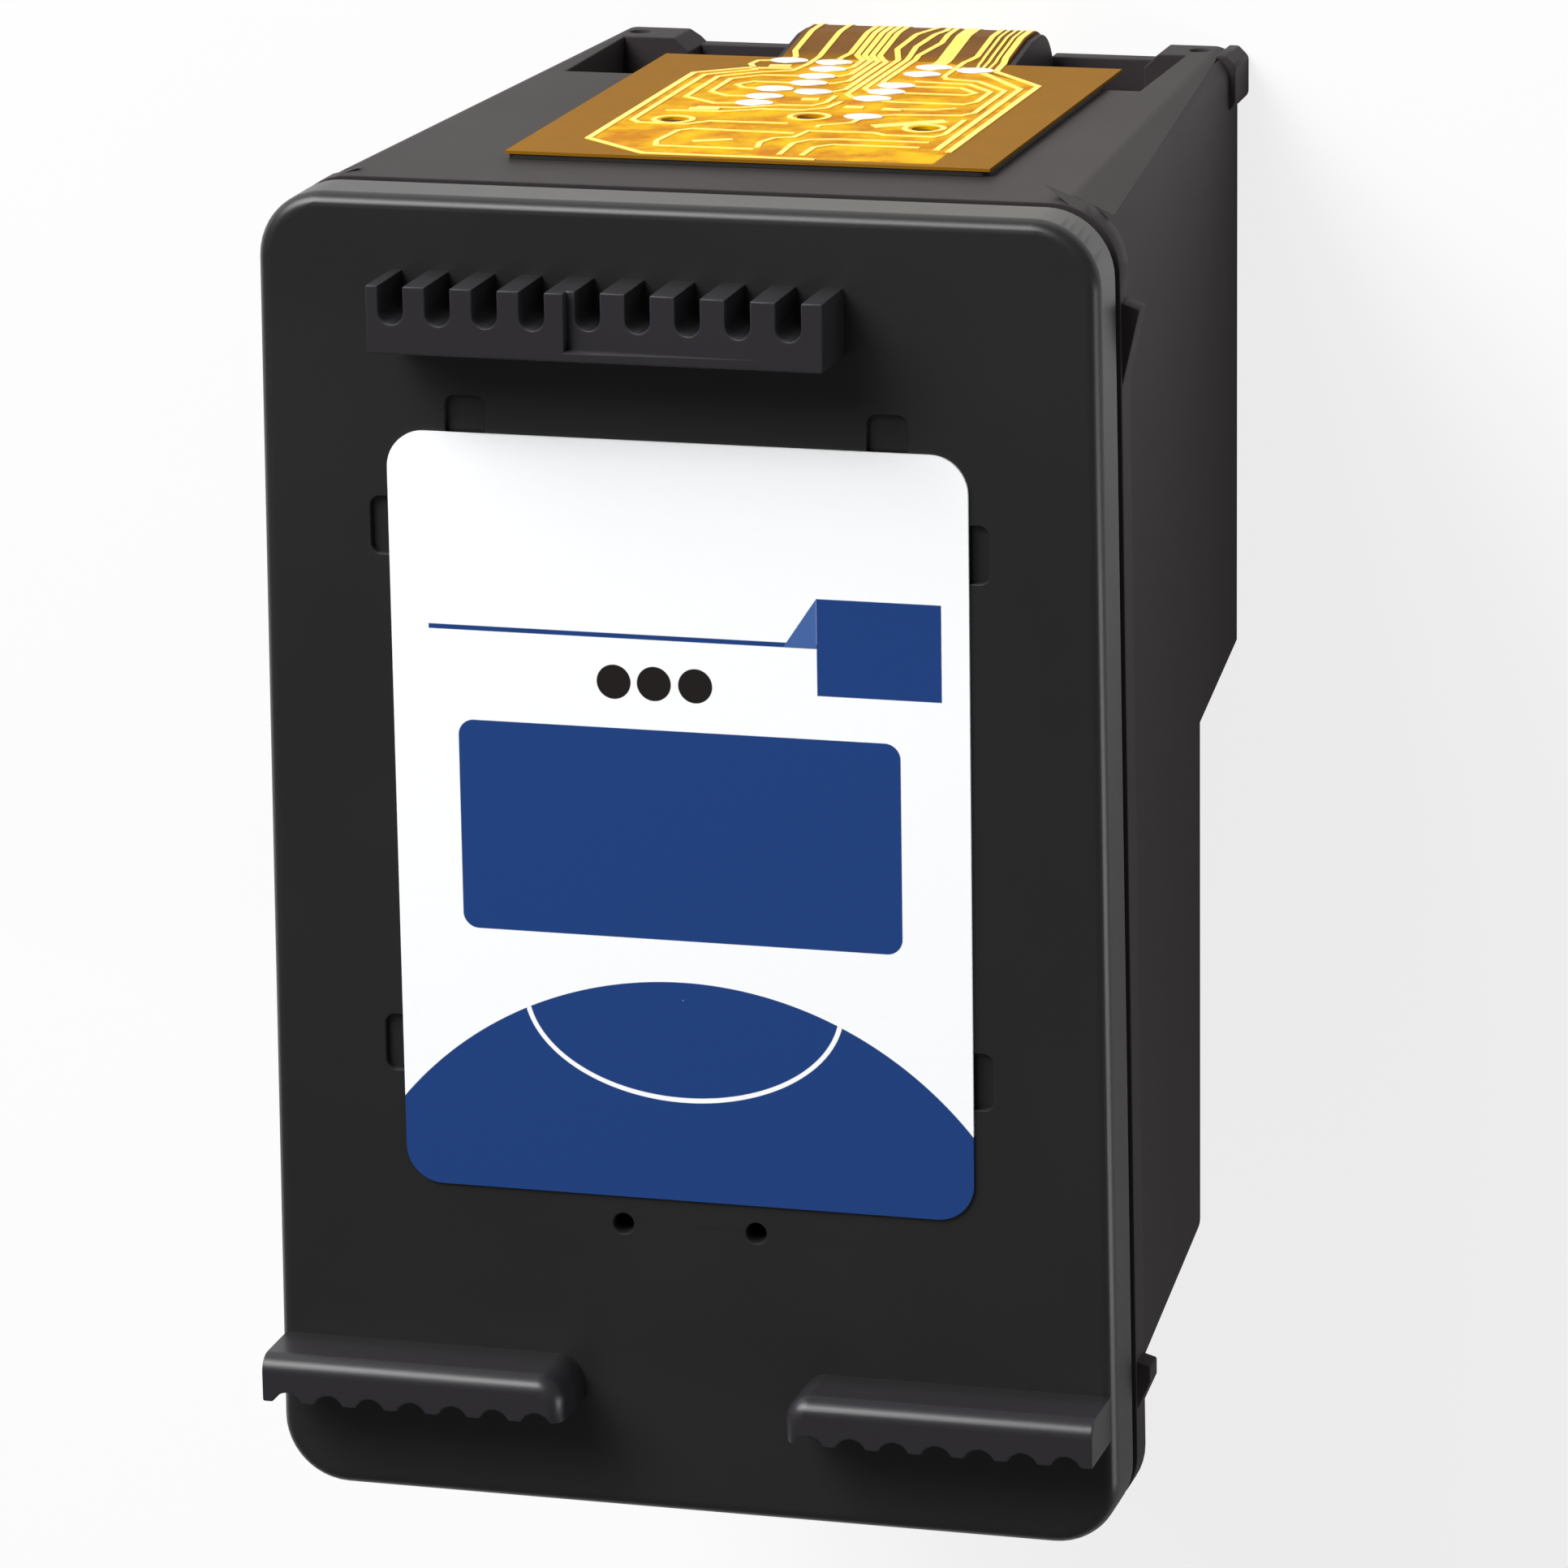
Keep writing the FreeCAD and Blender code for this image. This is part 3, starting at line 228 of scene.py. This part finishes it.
lidMoulding = softMoulding("cartridge_lid", "lidMoulding", lidPlastic,
                           plastic["lidRoundedAbove"], plastic["lidEdge"])
bodyMoulding = softMoulding("cartridge_body", "bodyMoulding", bodyPlastic,
                            plastic["bodyRoundedAbove"], plastic["bodyEdge"])
print("mouldings done, faces:", len(lidMoulding.data.polygons), len(bodyMoulding.data.polygons))


# Label: printed fields, all in millimetres on the lid

labelPrint = {
    "paper": rgb(252, 253, 254),
    "ink": rgb(27, 61, 122),
    "fold": rgb(66, 98, 158),
    "dots": rgb(24, 20, 18),
    "softEdge": 0.03,
    "line": (-9.82, 5.5, 9.3, 0.19),
    "square": (5.42, 10.24, 7.39, 11.14),
    "foldTip": (4.12, 9.22),
    "dotPlaces": (-2.54, -0.96, 0.66),
    "dotHeight": 7.5,
    "dotRadius": 0.67,
    "panel": (-8.74, 8.62, -2.55, 5.7, 0.62),
    "archMiddle": (-0.03, -18.85),
    "archRadius": 14.65,
    "bowMiddle": (-0.05, -4.9),
    "bowSize": (6.25, 4.0),
    "bowWide": 0.19,
    "bowLeast": 0.2,
    "fibreNoise": (2.2, 5.0, 0.65),
    "fibreTone": 0.965,
    "fibreStrength": 0.08,
    "fibreDeep": 0.01 * mm,
    "rough": 0.42,
    "inkSmoother": 0.08,
    "gloss": 0.35,
}


def labelFinish():
    finish = Finish("labelPaper")
    place = finish.millimetres()
    x, y = finish.split(place)[:2]
    soft = labelPrint["softEdge"]

    def inside(distance):
        # 1 where the signed distance is negative
        return finish.clamped(0.5 - distance / soft)

    def larger(a, b):
        return finish.maths("MAXIMUM", a, b)

    def away(cx, cy, wide=1.0, tall=1.0):
        # distance from a point, or the share of an ellipse's size at which a place lies
        return finish.maths("SQRT", (x - cx) * (x - cx) / wide ** 2 + (y - cy) * (y - cy) / tall ** 2)

    def box(left, right, low, high, corner=0.0):
        across = finish.maths("ABSOLUTE", x - (left + right) / 2) - ((right - left) / 2 - corner)
        along = finish.maths("ABSOLUTE", y - (low + high) / 2) - ((high - low) / 2 - corner)
        if not corner:
            return inside(larger(across, along))
        outX, outY = larger(across, 0.0), larger(along, 0.0)
        inward = finish.maths("MINIMUM", larger(across, along), 0.0)
        return inside(finish.maths("SQRT", outX * outX + outY * outY) + inward - corner)

    left, right, height, thick = labelPrint["line"]
    ink = box(left, right, height - thick / 2, height + thick / 2)
    ink = larger(ink, box(*labelPrint["square"]))
    ink = larger(ink, box(*labelPrint["panel"]))
    arch = away(*labelPrint["archMiddle"]) - labelPrint["archRadius"]
    bowMiddle = labelPrint["bowMiddle"]
    bow = away(*bowMiddle, *labelPrint["bowSize"])
    # the bow's width is even when the ratio is scaled by the distance from its middle
    bowReach = away(*bowMiddle) / larger(bow, labelPrint["bowLeast"])
    bowGap = finish.maths("ABSOLUTE", (bow - 1.0) * bowReach)
    bowLine = inside(bowGap - labelPrint["bowWide"] / 2) * inside(arch) * inside(y - bowMiddle[1])
    ink = larger(ink, inside(arch) * (1 - bowLine))
    tipX, tipY = labelPrint["foldTip"]
    foldX, foldHigh = labelPrint["square"][0], labelPrint["square"][3]
    rise = (foldHigh - tipY) / (foldX - tipX)
    fold = inside(y - tipY - (x - tipX) * rise) * inside(x - foldX) * inside(tipY - y)
    dots = 0.0
    for dotX in labelPrint["dotPlaces"]:
        dots = larger(dots, inside(away(dotX, labelPrint["dotHeight"]) - labelPrint["dotRadius"]))
    fibre = finish.noise(place, *labelPrint["fibreNoise"])
    paper = finish.blend(fibre, toned(labelPrint["paper"], labelPrint["fibreTone"]), labelPrint["paper"])
    shade = finish.blend(ink, paper, labelPrint["ink"])
    shade = finish.blend(fold, shade, labelPrint["fold"])
    shade = finish.blend(dots, shade, labelPrint["dots"])
    rough = labelPrint["rough"] - labelPrint["inkSmoother"] * ink
    return finish.surface(Base_Color=shade, Roughness=rough, Specular_IOR_Level=labelPrint["gloss"],
                          Normal=finish.bump(fibre, labelPrint["fibreStrength"], labelPrint["fibreDeep"]))


paint(nodes["label"], labelFinish())
print("label done")


# Flex film: a flat sheet on the contact face and a tail that bends over the nose

film = {
    "middle": 0.7,
    "top": 30.2,
    "flatLong": 22.0,
    "flatWide": 19.1,
    "lean": 0.2 / 33.15,
    "face": 25.6,
    "outside": 0.32,
    "crest": 26.32,
    "bends": ((7.9, 1.5), (4.6, 1.5), (0.95, 2.3)),
    "end": 2.9,
    "skin": 0.12,
    "step": math.radians(5),
    "holes": ((-5.05, 7.6), (0, 9.2), (5.05, 7.6)),
    "holeRadius": 0.5,
}


def faceAt(height):
    return film["face"] + film["outside"] - film["skin"] + film["lean"] * height


def filmLine():
    # inner face of the film as short runs in the YZ plane, from its edge by the lid to its end
    # under the nose
    (hollow, hollowRound), (crest, crestRound), (nose, noseRound) = film["bends"]
    corners = [Vector((faceAt(film["top"]), film["top"])), Vector((faceAt(hollow), hollow)),
               Vector((film["crest"], crest)), Vector((film["crest"], nose)), Vector((film["end"], nose))]
    spots = [corners[0]]
    for number, radius in enumerate((hollowRound, crestRound, noseRound), 1):
        back = (corners[number - 1] - corners[number]).normalized()
        ahead = (corners[number + 1] - corners[number]).normalized()
        opening = back.angle(ahead)
        middle = corners[number] + (back + ahead).normalized() * radius / math.sin(opening / 2)
        first = corners[number] + back * radius / math.tan(opening / 2) - middle
        turned = (math.pi - opening) * (-1 if back.x * ahead.y - back.y * ahead.x > 0 else 1)
        steps = max(2, round(abs(turned) / film["step"]))
        for step in range(steps + 1):
            spots.append(middle + Matrix.Rotation(turned * step / steps, 2) @ first)
    spots.append(corners[-1])
    return spots


filmRuns = filmLine()


def onFilm(across, along, lift):
    # place on the film's outer face, in metres, from millimetres across from its middle
    # and along from its edge by the lid
    left = along
    for start, end in zip(filmRuns, filmRuns[1:]):
        way = end - start
        if left <= way.length or end is filmRuns[-1]:
            break
        left -= way.length
    way.normalize()
    spot = start + way * left + Vector((-way.y, way.x)) * (film["skin"] + lift)
    return Vector((film["middle"] + across, spot.x, spot.y)) * mm


def laidOnFilm(shape):
    for vert in shape.verts:
        vert.co = onFilm(*vert.co)


# Copper traces laid on the film's outer face: points across and along the film, in millimetres

tailEnd = 35.0
traces = {
    "width": 0.24,
    "fine": 0.13,
    "guard": 0.27,
    "thick": 0.03,
    "bend": 0.2,
    "mitreLimit": 0.5,
    "ringSteps": 28,
    "ringGap": 0.14,
    "guards": (
        ((2.6, 0.5), (-4.2, 0.5), (-7.15, 3.1), (-7.15, 17.8), (-5.3, 19.3), (-3.5, 19.45)),
        ((7.2, 2.9), (7.2, 17.4), (4.75, 20.3), (4.62, 22.0), (4.5, 23.0), (4.5, tailEnd)),
        ((6.65, 3.2), (6.65, 16.6), (4.75, 19.3), (4.3, 19.9)),
    ),
    "lines": (
        ((-4.1, 21.4), (-5.35, 21.0), (-5.45, 20.2), (-4.9, 18.9), (-6.6, 17.4), (-6.6, 7.2),
         (-6.2, 6.7),
         (-4.2, 6.7), (-3.5, 7.5), (-0.4, 7.6)),
        ((-2.95, 11.6), (-4.4, 11.3), (-5.95, 12.5), (-5.95, 17.1), (-4.4, 18.5),
         (-3.35, 19.0), (-3.15, 20.6),
         (-3.15, tailEnd)),
        ((-2.95, 13.1), (-4.4, 13.0), (-5.3, 13.8), (-5.3, 16.7), (-4.2, 17.8), (-2.6, 17.9)),
        ((-2.95, 14.7), (-4.3, 14.9), (-4.7, 15.5), (-4.2, 16.3), (-2.6, 16.3)),
        ((-1.25, 14.4), (-0.5, 14.6), (-0.15, 15.2), (-0.15, 21.6), (-0.7, 22.7), (-0.7, tailEnd)),
        ((-2.0, 16.2), (-0.95, 16.5), (-0.5, 17.1), (-0.5, 21.7), (-1.02, 22.7), (-1.02, tailEnd)),
        ((-2.0, 17.8), (-1.1, 18.1), (-0.84, 18.6), (-0.84, 21.8), (-1.34, 22.7), (-1.34, tailEnd)),
        ((-2.0, 19.4), (-1.35, 19.8), (-1.17, 20.2), (-1.2, 21.9), (-1.66, 22.7), (-1.66, tailEnd)),
        ((-2.2, 21.0), (-2.2, 22.3), (-1.98, 22.9), (-1.98, tailEnd)),
        ((-4.1, 21.0), (-4.1, 22.2), (-4.35, 23.0), (-4.35, tailEnd)),
        ((1.45, 13.4), (0.55, 13.6), (0.2, 14.2), (0.2, 22.2), (-0.2, 23.6), (0.1, 25.5), (0.75, 27.6),
         (0.75, tailEnd)),
        ((1.6, 14.9), (0.85, 15.1), (0.55, 15.6), (0.55, 22.6), (0.5, 24.0), (1.1, 26.6),
         (1.1, tailEnd)),
        ((1.65, 16.4), (1.0, 16.8), (0.88, 17.3), (0.88, 22.9), (1.42, 24.6), (1.42, tailEnd)),
        ((2.1, 9.5), (3.3, 10.2), (5.8, 10.5), (6.15, 11.1), (6.15, 16.1), (4.6, 18.0), (3.2, 18.3),
         (2.98, 18.8), (2.98, 22.2), (3.3, 23.0), (3.3, tailEnd)),
        ((1.45, 13.2), (2.6, 12.9), (5.3, 12.9), (5.65, 13.5), (5.65, 15.8), (4.4, 17.3), (2.1, 17.5)),
        ((1.6, 14.9), (4.9, 14.9), (5.15, 15.4), (4.3, 16.4), (1.7, 16.4)),
        ((-0.25, 2.1), (-4.15, 2.1), (-4.4, 3.0), (-4.2, 5.3), (-3.7, 5.8), (0.4, 5.6)),
        ((-0.2, 2.4), (-0.4, 3.5), (-0.1, 4.5), (0.6, 4.8), (0.8, 6.2), (3.4, 6.3),
         (3.9, 5.9), (5.9, 5.9),
         (6.15, 6.4), (6.15, 9.6)),
        ((1.0, 1.2), (0.9, 3.6), (1.4, 4.4), (2.4, 4.7), (6.0, 4.7)),
        ((1.9, 1.2), (1.9, 2.9), (2.5, 3.6), (5.9, 3.6)),
        ((2.1, 9.5), (2.0, 8.2), (0.9, 7.4), (0.9, 7.0)),
        ((-5.9, 9.4), (-3.6, 9.6), (-2.2, 10.4), (-0.6, 10.5), (0.2, 11.1), (0.4, 12.6)),
        ((-4.9, 10.4), (-3.2, 10.5), (-1.7, 11.4), (-0.5, 11.5), (-0.15, 12.2), (-0.15, 13.8)),
        ((2.7, 11.4), (4.4, 11.5), (5.2, 12.0)),
    ),
    "fineLines": (
        ((3.9, 20.4), (3.65, 22.0), (3.62, 23.0), (3.62, tailEnd)),
        ((4.1, 20.4), (3.95, 22.0), (3.92, 23.0), (3.92, tailEnd)),
        ((4.35, 20.3), (4.25, 22.0), (4.2, 23.0), (4.2, tailEnd)),
    ),
    "strips": (
        (0.62, ((2.1, 20.9), (2.1, tailEnd))),
        (0.5, ((-5.1, 10.0), (-3.9, 10.1))),
        (0.55, ((-4.6, 19.9), (-3.7, 20.0))),
        (0.5, ((-1.3, 12.8), (-0.6, 12.9))),
        (0.5, ((0.8, 11.5), (1.6, 11.5))),
        (0.45, ((2.4, 11.3), (3.2, 11.3))),
        (0.7, ((3.0, 7.6), (5.5, 9.2))),
        (0.4, ((-3.0, 3.2), (-1.6, 3.9))),
    ),
    "pads": (
        (-4.1, 21.2), (-2.95, 14.8), (-2.9, 13.1), (-2.9, 11.6), (-2.2, 21.1), (-2.03, 19.5),
        (-2.03, 17.85),
        (-1.95, 16.3), (-1.26, 14.4), (2.1, 20.7), (2.0, 19.1), (3.9, 20.3), (1.64, 16.4), (1.6, 14.95),
        (1.44, 13.4), (2.1, 9.5)),
    "padSize": (0.78, 0.56),
    "padSides": 26,
    "padThick": 0.05,
    "padDome": ((0.05, 0.02), (0.16, 0.012)),
}


def closeSpots(points):
    # more points where the film bends, so that a trace follows it
    spots = [Vector(points[0])]
    for point in points[1:]:
        way = Vector(point) - spots[-1]
        if max(point[1], spots[-1].y) > film["flatLong"]:
            start = spots[-1]
            steps = math.ceil(way.length / traces["bend"])
            spots += [start + way * step / steps for step in range(1, steps)]
        spots.append(Vector(point))
    return spots


def copperTrace(shape, points, width):
    # an edge across the trace, extruded from point to point with mitred corners
    spots = closeSpots(points)
    ways = [(b - a).normalized() for a, b in zip(spots, spots[1:])]
    edge = None
    for number, spot in enumerate(spots):
        before, after = ways[max(number - 1, 0)], ways[min(number, len(ways) - 1)]
        lean = (before + after).normalized()
        side = Vector((-lean.y, lean.x)) * width / 2 / max(lean.dot(after), traces["mitreLimit"])
        if edge is None:
            ends = [shape.verts.new((*(spot + side * hand), 0)) for hand in (1, -1)]
            edge = shape.edges.new(ends)
            continue
        made = bmesh.ops.extrude_edge_only(shape, edges=[edge])["geom"]
        edge = [item for item in made if isinstance(item, bmesh.types.BMEdge)][0]
        last = spots[number - 1]
        for vert in edge.verts:
            hand = 1 if (vert.co.xy - last).dot(Vector((-before.y, before.x))) > 0 else -1
            vert.co = (*(spot + side * hand), 0)


def copperLayer():
    # every trace as its own strip and a ring round each tooling hole, made solid and laid on the film
    shape = bmesh.new()
    groups = (("guard", "guards"), ("width", "lines"), ("fine", "fineLines"))
    runs = [(traces[width], points) for width, group in groups for points in traces[group]]
    for width, points in (*runs, *traces["strips"]):
        copperTrace(shape, points, width)
    radius = film["holeRadius"] + traces["ringGap"] + traces["width"] / 2
    turns = [math.tau * step / traces["ringSteps"] for step in range(traces["ringSteps"] + 1)]
    for across, along in film["holes"]:
        ring = [(across + radius * math.cos(turn), along + radius * math.sin(turn)) for turn in turns]
        copperTrace(shape, ring, traces["width"])
    bmesh.ops.recalc_face_normals(shape, faces=shape.faces)
    bmesh.ops.solidify(shape, geom=shape.faces[:], thickness=traces["thick"])
    laidOnFilm(shape)
    return shape


def lifted(shape, faces, height):
    # the faces extruded straight up; returns their new faces
    made = bmesh.ops.extrude_face_region(shape, geom=faces)["geom"]
    bmesh.ops.translate(shape, verts=[item for item in made if isinstance(item, bmesh.types.BMVert)],
                        vec=(0, 0, height))
    return [item for item in made if isinstance(item, bmesh.types.BMFace)]


def closedOnFilm(shape):
    bmesh.ops.holes_fill(shape, edges=[edge for edge in shape.edges if edge.is_boundary])
    bmesh.ops.recalc_face_normals(shape, faces=shape.faces)
    laidOnFilm(shape)
    return shape


def contactPads():
    # low pads with a rounded rim and a slightly domed top
    shape = bmesh.new()
    for across, along in traces["pads"]:
        place = Matrix.Translation((across, along, 0)) @ Matrix.Diagonal((*traces["padSize"], 1, 1))
        rim = bmesh.ops.create_circle(shape, cap_ends=True, segments=traces["padSides"], radius=1.0,
                                      matrix=place)
        cap = lifted(shape, [rim["verts"][0].link_faces[0]], traces["padThick"])
        for inset, rise in traces["padDome"]:
            bmesh.ops.inset_region(shape, faces=cap, thickness=inset, depth=rise)
    return closedOnFilm(shape)


# adhesive under the film, brought out to just short of the film's edge: its near-black colour is real
# glue and partly painted shadow of the gap under the film's edge
glueAndShadowBed = {
    "inset": 0.05,
    "long": 18.8,
    "corner": 0.4,
    "cornerSteps": 4,
    "thick": 0.19,
}


def adhesiveAndShadowBed():
    # dark adhesive sheet that lifts the film off the contact face and ends just short of the film's edge;
    # its near-black colour is real glue and partly painted shadow for the gap under the film's lifted
    # edge
    shape = bmesh.new()
    place = (Matrix.Translation((0, glueAndShadowBed["inset"] + glueAndShadowBed["long"] / 2, -film["skin"]))
             @ Matrix.Diagonal((film["flatWide"] / 2 - glueAndShadowBed["inset"], glueAndShadowBed["long"] / 2, 1, 1)))
    bmesh.ops.create_grid(shape, x_segments=1, y_segments=1, size=1.0, matrix=place)
    bmesh.ops.bevel(shape, geom=shape.verts[:], offset=glueAndShadowBed["corner"], offset_type="OFFSET",
                    affect="VERTICES", segments=glueAndShadowBed["cornerSteps"], profile=0.5, material=-1)
    bmesh.ops.recalc_face_normals(shape, faces=shape.faces)
    lifted(shape, shape.faces[:], -glueAndShadowBed["thick"])
    return closedOnFilm(shape)


# Film, adhesive, pads and print head

plainLook = {
    "detail": 3.0,
    "roughSwing": 0.1,
    "strength": 0.1,
    "deep": 0.02 * mm,
}


def plain(name, color, roughness, metal=0.0, scale=2.0, spread=0.12):
    finish = Finish(name)
    cloud = finish.noise(finish.millimetres(), scale, plainLook["detail"])
    shade = finish.blend(cloud, toned(color, 1 - spread), toned(color, 1 + spread))
    rough = cloud * plainLook["roughSwing"] + (roughness - plainLook["roughSwing"] / 2)
    return finish.surface(Base_Color=shade, Roughness=rough, Metallic=metal,
                          Normal=finish.bump(cloud, plainLook["strength"], plainLook["deep"]))


filmTint = {
    "border": (rgb(122, 82, 16), rgb(138, 96, 24)),
    "inner": (rgb(178, 112, 6), rgb(214, 168, 16)),
    "tail": (rgb(88, 62, 38), rgb(128, 88, 44)),
    "guard": (-7.15, 7.2, 0.5, 22.0),
    "corners": ((-7.15, 3.1, 0.668, 0.744), (-7.15, 17.8, 0.615, -0.788), (7.2, 17.4, -0.69, -0.724)),
    "soft": 0.1,
    "foot": 7.9,
    "footSoft": 0.8,
    "cloudNoise": (0.5, 4.0, 0.6),
    "brightFrom": 0.38,
    "brightSlope": 4.0,
    "rough": 0.3,
    "roughSwing": 0.12,
    "gloss": 0.004,
    "strength": 0.15,
    "deep": 0.03 * mm,
}


def filmFinishes():
    # amber polyimide: brown over the plastic, brighter over copper, and grey brown on the tail
    finish = Finish("amberFilm")
    place = finish.millimetres()
    x, z = finish.split(place)[::2]
    across, along = x - film["middle"], film["top"] - z

    def kept(amount):
        return finish.clamped(0.5 + amount / filmTint["soft"])

    left, right, low, high = filmTint["guard"]
    over = kept(across - left) * kept(right - across) * kept(along - low) * kept(high - along)
    for cornerX, cornerS, slopeX, slopeS in filmTint["corners"]:
        over = over * kept((across - cornerX) * slopeX + (along - cornerS) * slopeS)
    cloud = finish.noise(place, *filmTint["cloudNoise"])
    spread = finish.clamped((cloud - filmTint["brightFrom"]) * filmTint["brightSlope"])
    tail = finish.clamped((filmTint["foot"] - z) / filmTint["footSoft"])
    border = finish.blend(cloud, *filmTint["border"])
    shade = finish.blend(over, border, finish.blend(spread, *filmTint["inner"]))
    shade = finish.blend(tail, shade, finish.blend(cloud, *filmTint["tail"]))
    return finish.surface(Base_Color=shade, Roughness=cloud * filmTint["roughSwing"] + filmTint["rough"],
                          Specular_IOR_Level=filmTint["gloss"],
                          Normal=finish.bump(cloud, filmTint["strength"], filmTint["deep"]))


filmFinish = filmFinishes()
traceFinish = plain("coveredCopper", rgb(246, 208, 70), 0.32, scale=0.9, spread=0.18)
padFinish = plain("platedPad", rgb(250, 248, 240), 0.3, metal=0.7)
# near-black adhesive colour, partly painted shadow under the film's edge
glueAndShadowFinish = plain("adhesiveAndShadowSheet", rgb(14, 12, 10), 0.6)
foamFinish = plain("inkFoam", rgb(22, 22, 26), 0.9)
screenFinish = plain("steelScreen", rgb(170, 170, 172), 0.35, metal=1.0)
siliconFinish = plain("silicon", rgb(92, 94, 104), 0.12, metal=0.6)
resinFinish = plain("resin", rgb(34, 32, 32), 0.2)

nozzles = {
    "sheet": rgb(104, 88, 56),
    # painted shade of the nozzle holes
    "opening": rgb(12, 11, 10),
    "middle": (0.7, 12.0),
    "rowOut": 0.62,
    "rowHalf": 5.2,
    "pitch": 0.2,
    "radius": 0.055,
    "softEdge": 0.02,
    "wholeSteps": 100.0,
    "cloudNoise": (1.5, 3.0),
    "lighter": 1.3,
    "rough": 0.25,
    "roughSwing": 0.1,
}


def nozzleSheet():
    # two rows of fine openings along the sheet, drawn as dark dots of painted shade that stand in for the
    # holes
    finish = Finish("nozzleFilm")
    place = finish.millimetres()
    x, y = finish.split(place)[:2]
    cx, cy = nozzles["middle"]
    side = finish.maths("ABSOLUTE", x - cx) - nozzles["rowOut"]
    # whole steps added, so that the fraction is taken of a number above zero
    steps = (y - cy) / nozzles["pitch"] + nozzles["wholeSteps"]
    along = (finish.maths("FRACT", steps) - 0.5) * nozzles["pitch"]
    away = finish.maths("SQRT", side * side + along * along)
    # dark dots of painted shade where the holes are
    opening = finish.clamped(0.5 - (away - nozzles["radius"]) / nozzles["softEdge"])
    opening = opening * finish.clamped(nozzles["rowHalf"] - finish.maths("ABSOLUTE", y - cy))
    cloud = finish.noise(place, *nozzles["cloudNoise"])
    sheet = finish.blend(cloud, nozzles["sheet"], toned(nozzles["sheet"], nozzles["lighter"]))
    return finish.surface(Base_Color=finish.blend(opening, sheet, nozzles["opening"]),
                          Roughness=cloud * nozzles["roughSwing"] + nozzles["rough"])


for node, material in (("flex_film", filmFinish), ("ink_foam", foamFinish),
                       ("filter_screen", screenFinish), ("printhead_die", siliconFinish),
                       ("die_adhesive", resinFinish), ("bond_beads", resinFinish),
                       ("nozzle_plate", nozzleSheet())):
    paint(nodes[node], material)
newPiece("flexTraces", copperLayer(), traceFinish, smooth=False)
padPiece = newPiece("platedPads", contactPads(), padFinish)
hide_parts("contact_pads")
# the dark adhesive sheet in place of flex_adhesive, partly painted shadow under the film's edge
glueAndShadowPiece = newPiece("adhesiveAndShadowBed", adhesiveAndShadowBed(), glueAndShadowFinish, smooth=False)
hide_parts("flex_adhesive")
print("print head done")


# Studio: pale floor, soft lamps, and a camera at the photo's angle

studio = {
    "cameraPlace": (80.0157, 82.0527, 308.3665),
    "pitch": 0.27155398,
    "yaw": -0.2739538,
    "roll": 0.015496403,
    "lens": 177.8686,
    "sensor": 36,
    "clip": (0.01, 10),
    "floorHalf": 1.5,
    "floorColor": (0.86, 0.86, 0.86),
    "floorGlow": 0.8,
    "worldStrength": 0.16,
    "lamps": (
        ("keyBehind", (-0.35, 0.40, 0.30), 0.02, 0.35, 0.35, 3.6),
        ("stripRight", (0.55, -0.16, 0.15), 0.03, 0.05, 0.3, 0.9),
        ("overLabel", (-0.20, 0.43, 0.47), 0.02, 0.3, 0.3, 2.7),
    ),
}

floorMesh = bmesh.new()
bmesh.ops.create_grid(floorMesh, x_segments=1, y_segments=1, size=studio["floorHalf"])
mesh = bpy.data.meshes.new("floor")
floorMesh.to_mesh(mesh)
floorMesh.free()
floor = bpy.data.objects.new("floor", mesh)
bpy.context.scene.collection.objects.link(floor)
floorFinish = Finish("paleFloor")
floorFinish.surface(Base_Color=(*studio["floorColor"], 1), Roughness=0.9, Specular_IOR_Level=0.0)
lightPath = floorFinish.node("ShaderNodeLightPath")
seen = Signal(floorFinish, lightPath.socket.node.outputs["Is Camera Ray"])
glow = floorFinish.node("ShaderNodeEmission", None, {"Strength": 1.0})
mixed = floorFinish.node("ShaderNodeMixShader", None, {
    0: seen * studio["floorGlow"], 1: Signal(floorFinish, floorFinish.shader.outputs[0]), 2: glow})
floorFinish.tree.links.new(mixed.socket, floorFinish.tree.nodes["Material Output"].inputs["Surface"])
mesh.materials.append(floorFinish.material)

world = bpy.data.worlds.new("studioWorld")
bpy.context.scene.world = world
world.use_nodes = True
background = world.node_tree.nodes["Background"]
background.inputs["Color"].default_value = (1, 1, 1, 1)
background.inputs["Strength"].default_value = studio["worldStrength"]

for name, place, aimHeight, width, height, power in studio["lamps"]:
    data = bpy.data.lights.new(name, "AREA")
    data.shape = "RECTANGLE"
    data.size = width
    data.size_y = height
    data.energy = power
    lamp = bpy.data.objects.new(name, data)
    bpy.context.scene.collection.objects.link(lamp)
    lamp.location = place
    aim = Vector((0, 0, aimHeight)) - Vector(place)
    lamp.rotation_euler = aim.to_track_quat("-Z", "Y").to_euler()

cameraData = bpy.data.cameras.new("photoCamera")
cameraData.sensor_width = studio["sensor"]
cameraData.lens = studio["lens"]
cameraData.clip_start, cameraData.clip_end = studio["clip"]
camera = bpy.data.objects.new("photoCamera", cameraData)
bpy.context.scene.collection.objects.link(camera)
turn = (Matrix.Rotation(studio["roll"], 3, "Z") @ Matrix.Rotation(studio["pitch"], 3, "X")
        @ Matrix.Rotation(studio["yaw"], 3, "Y"))
camera.matrix_world = Matrix.Translation(Vector(studio["cameraPlace"]) * mm) @ turn.transposed().to_4x4()
bpy.context.scene.camera = camera
bpy.context.scene.view_settings.view_transform = "Standard"
print("studio done")
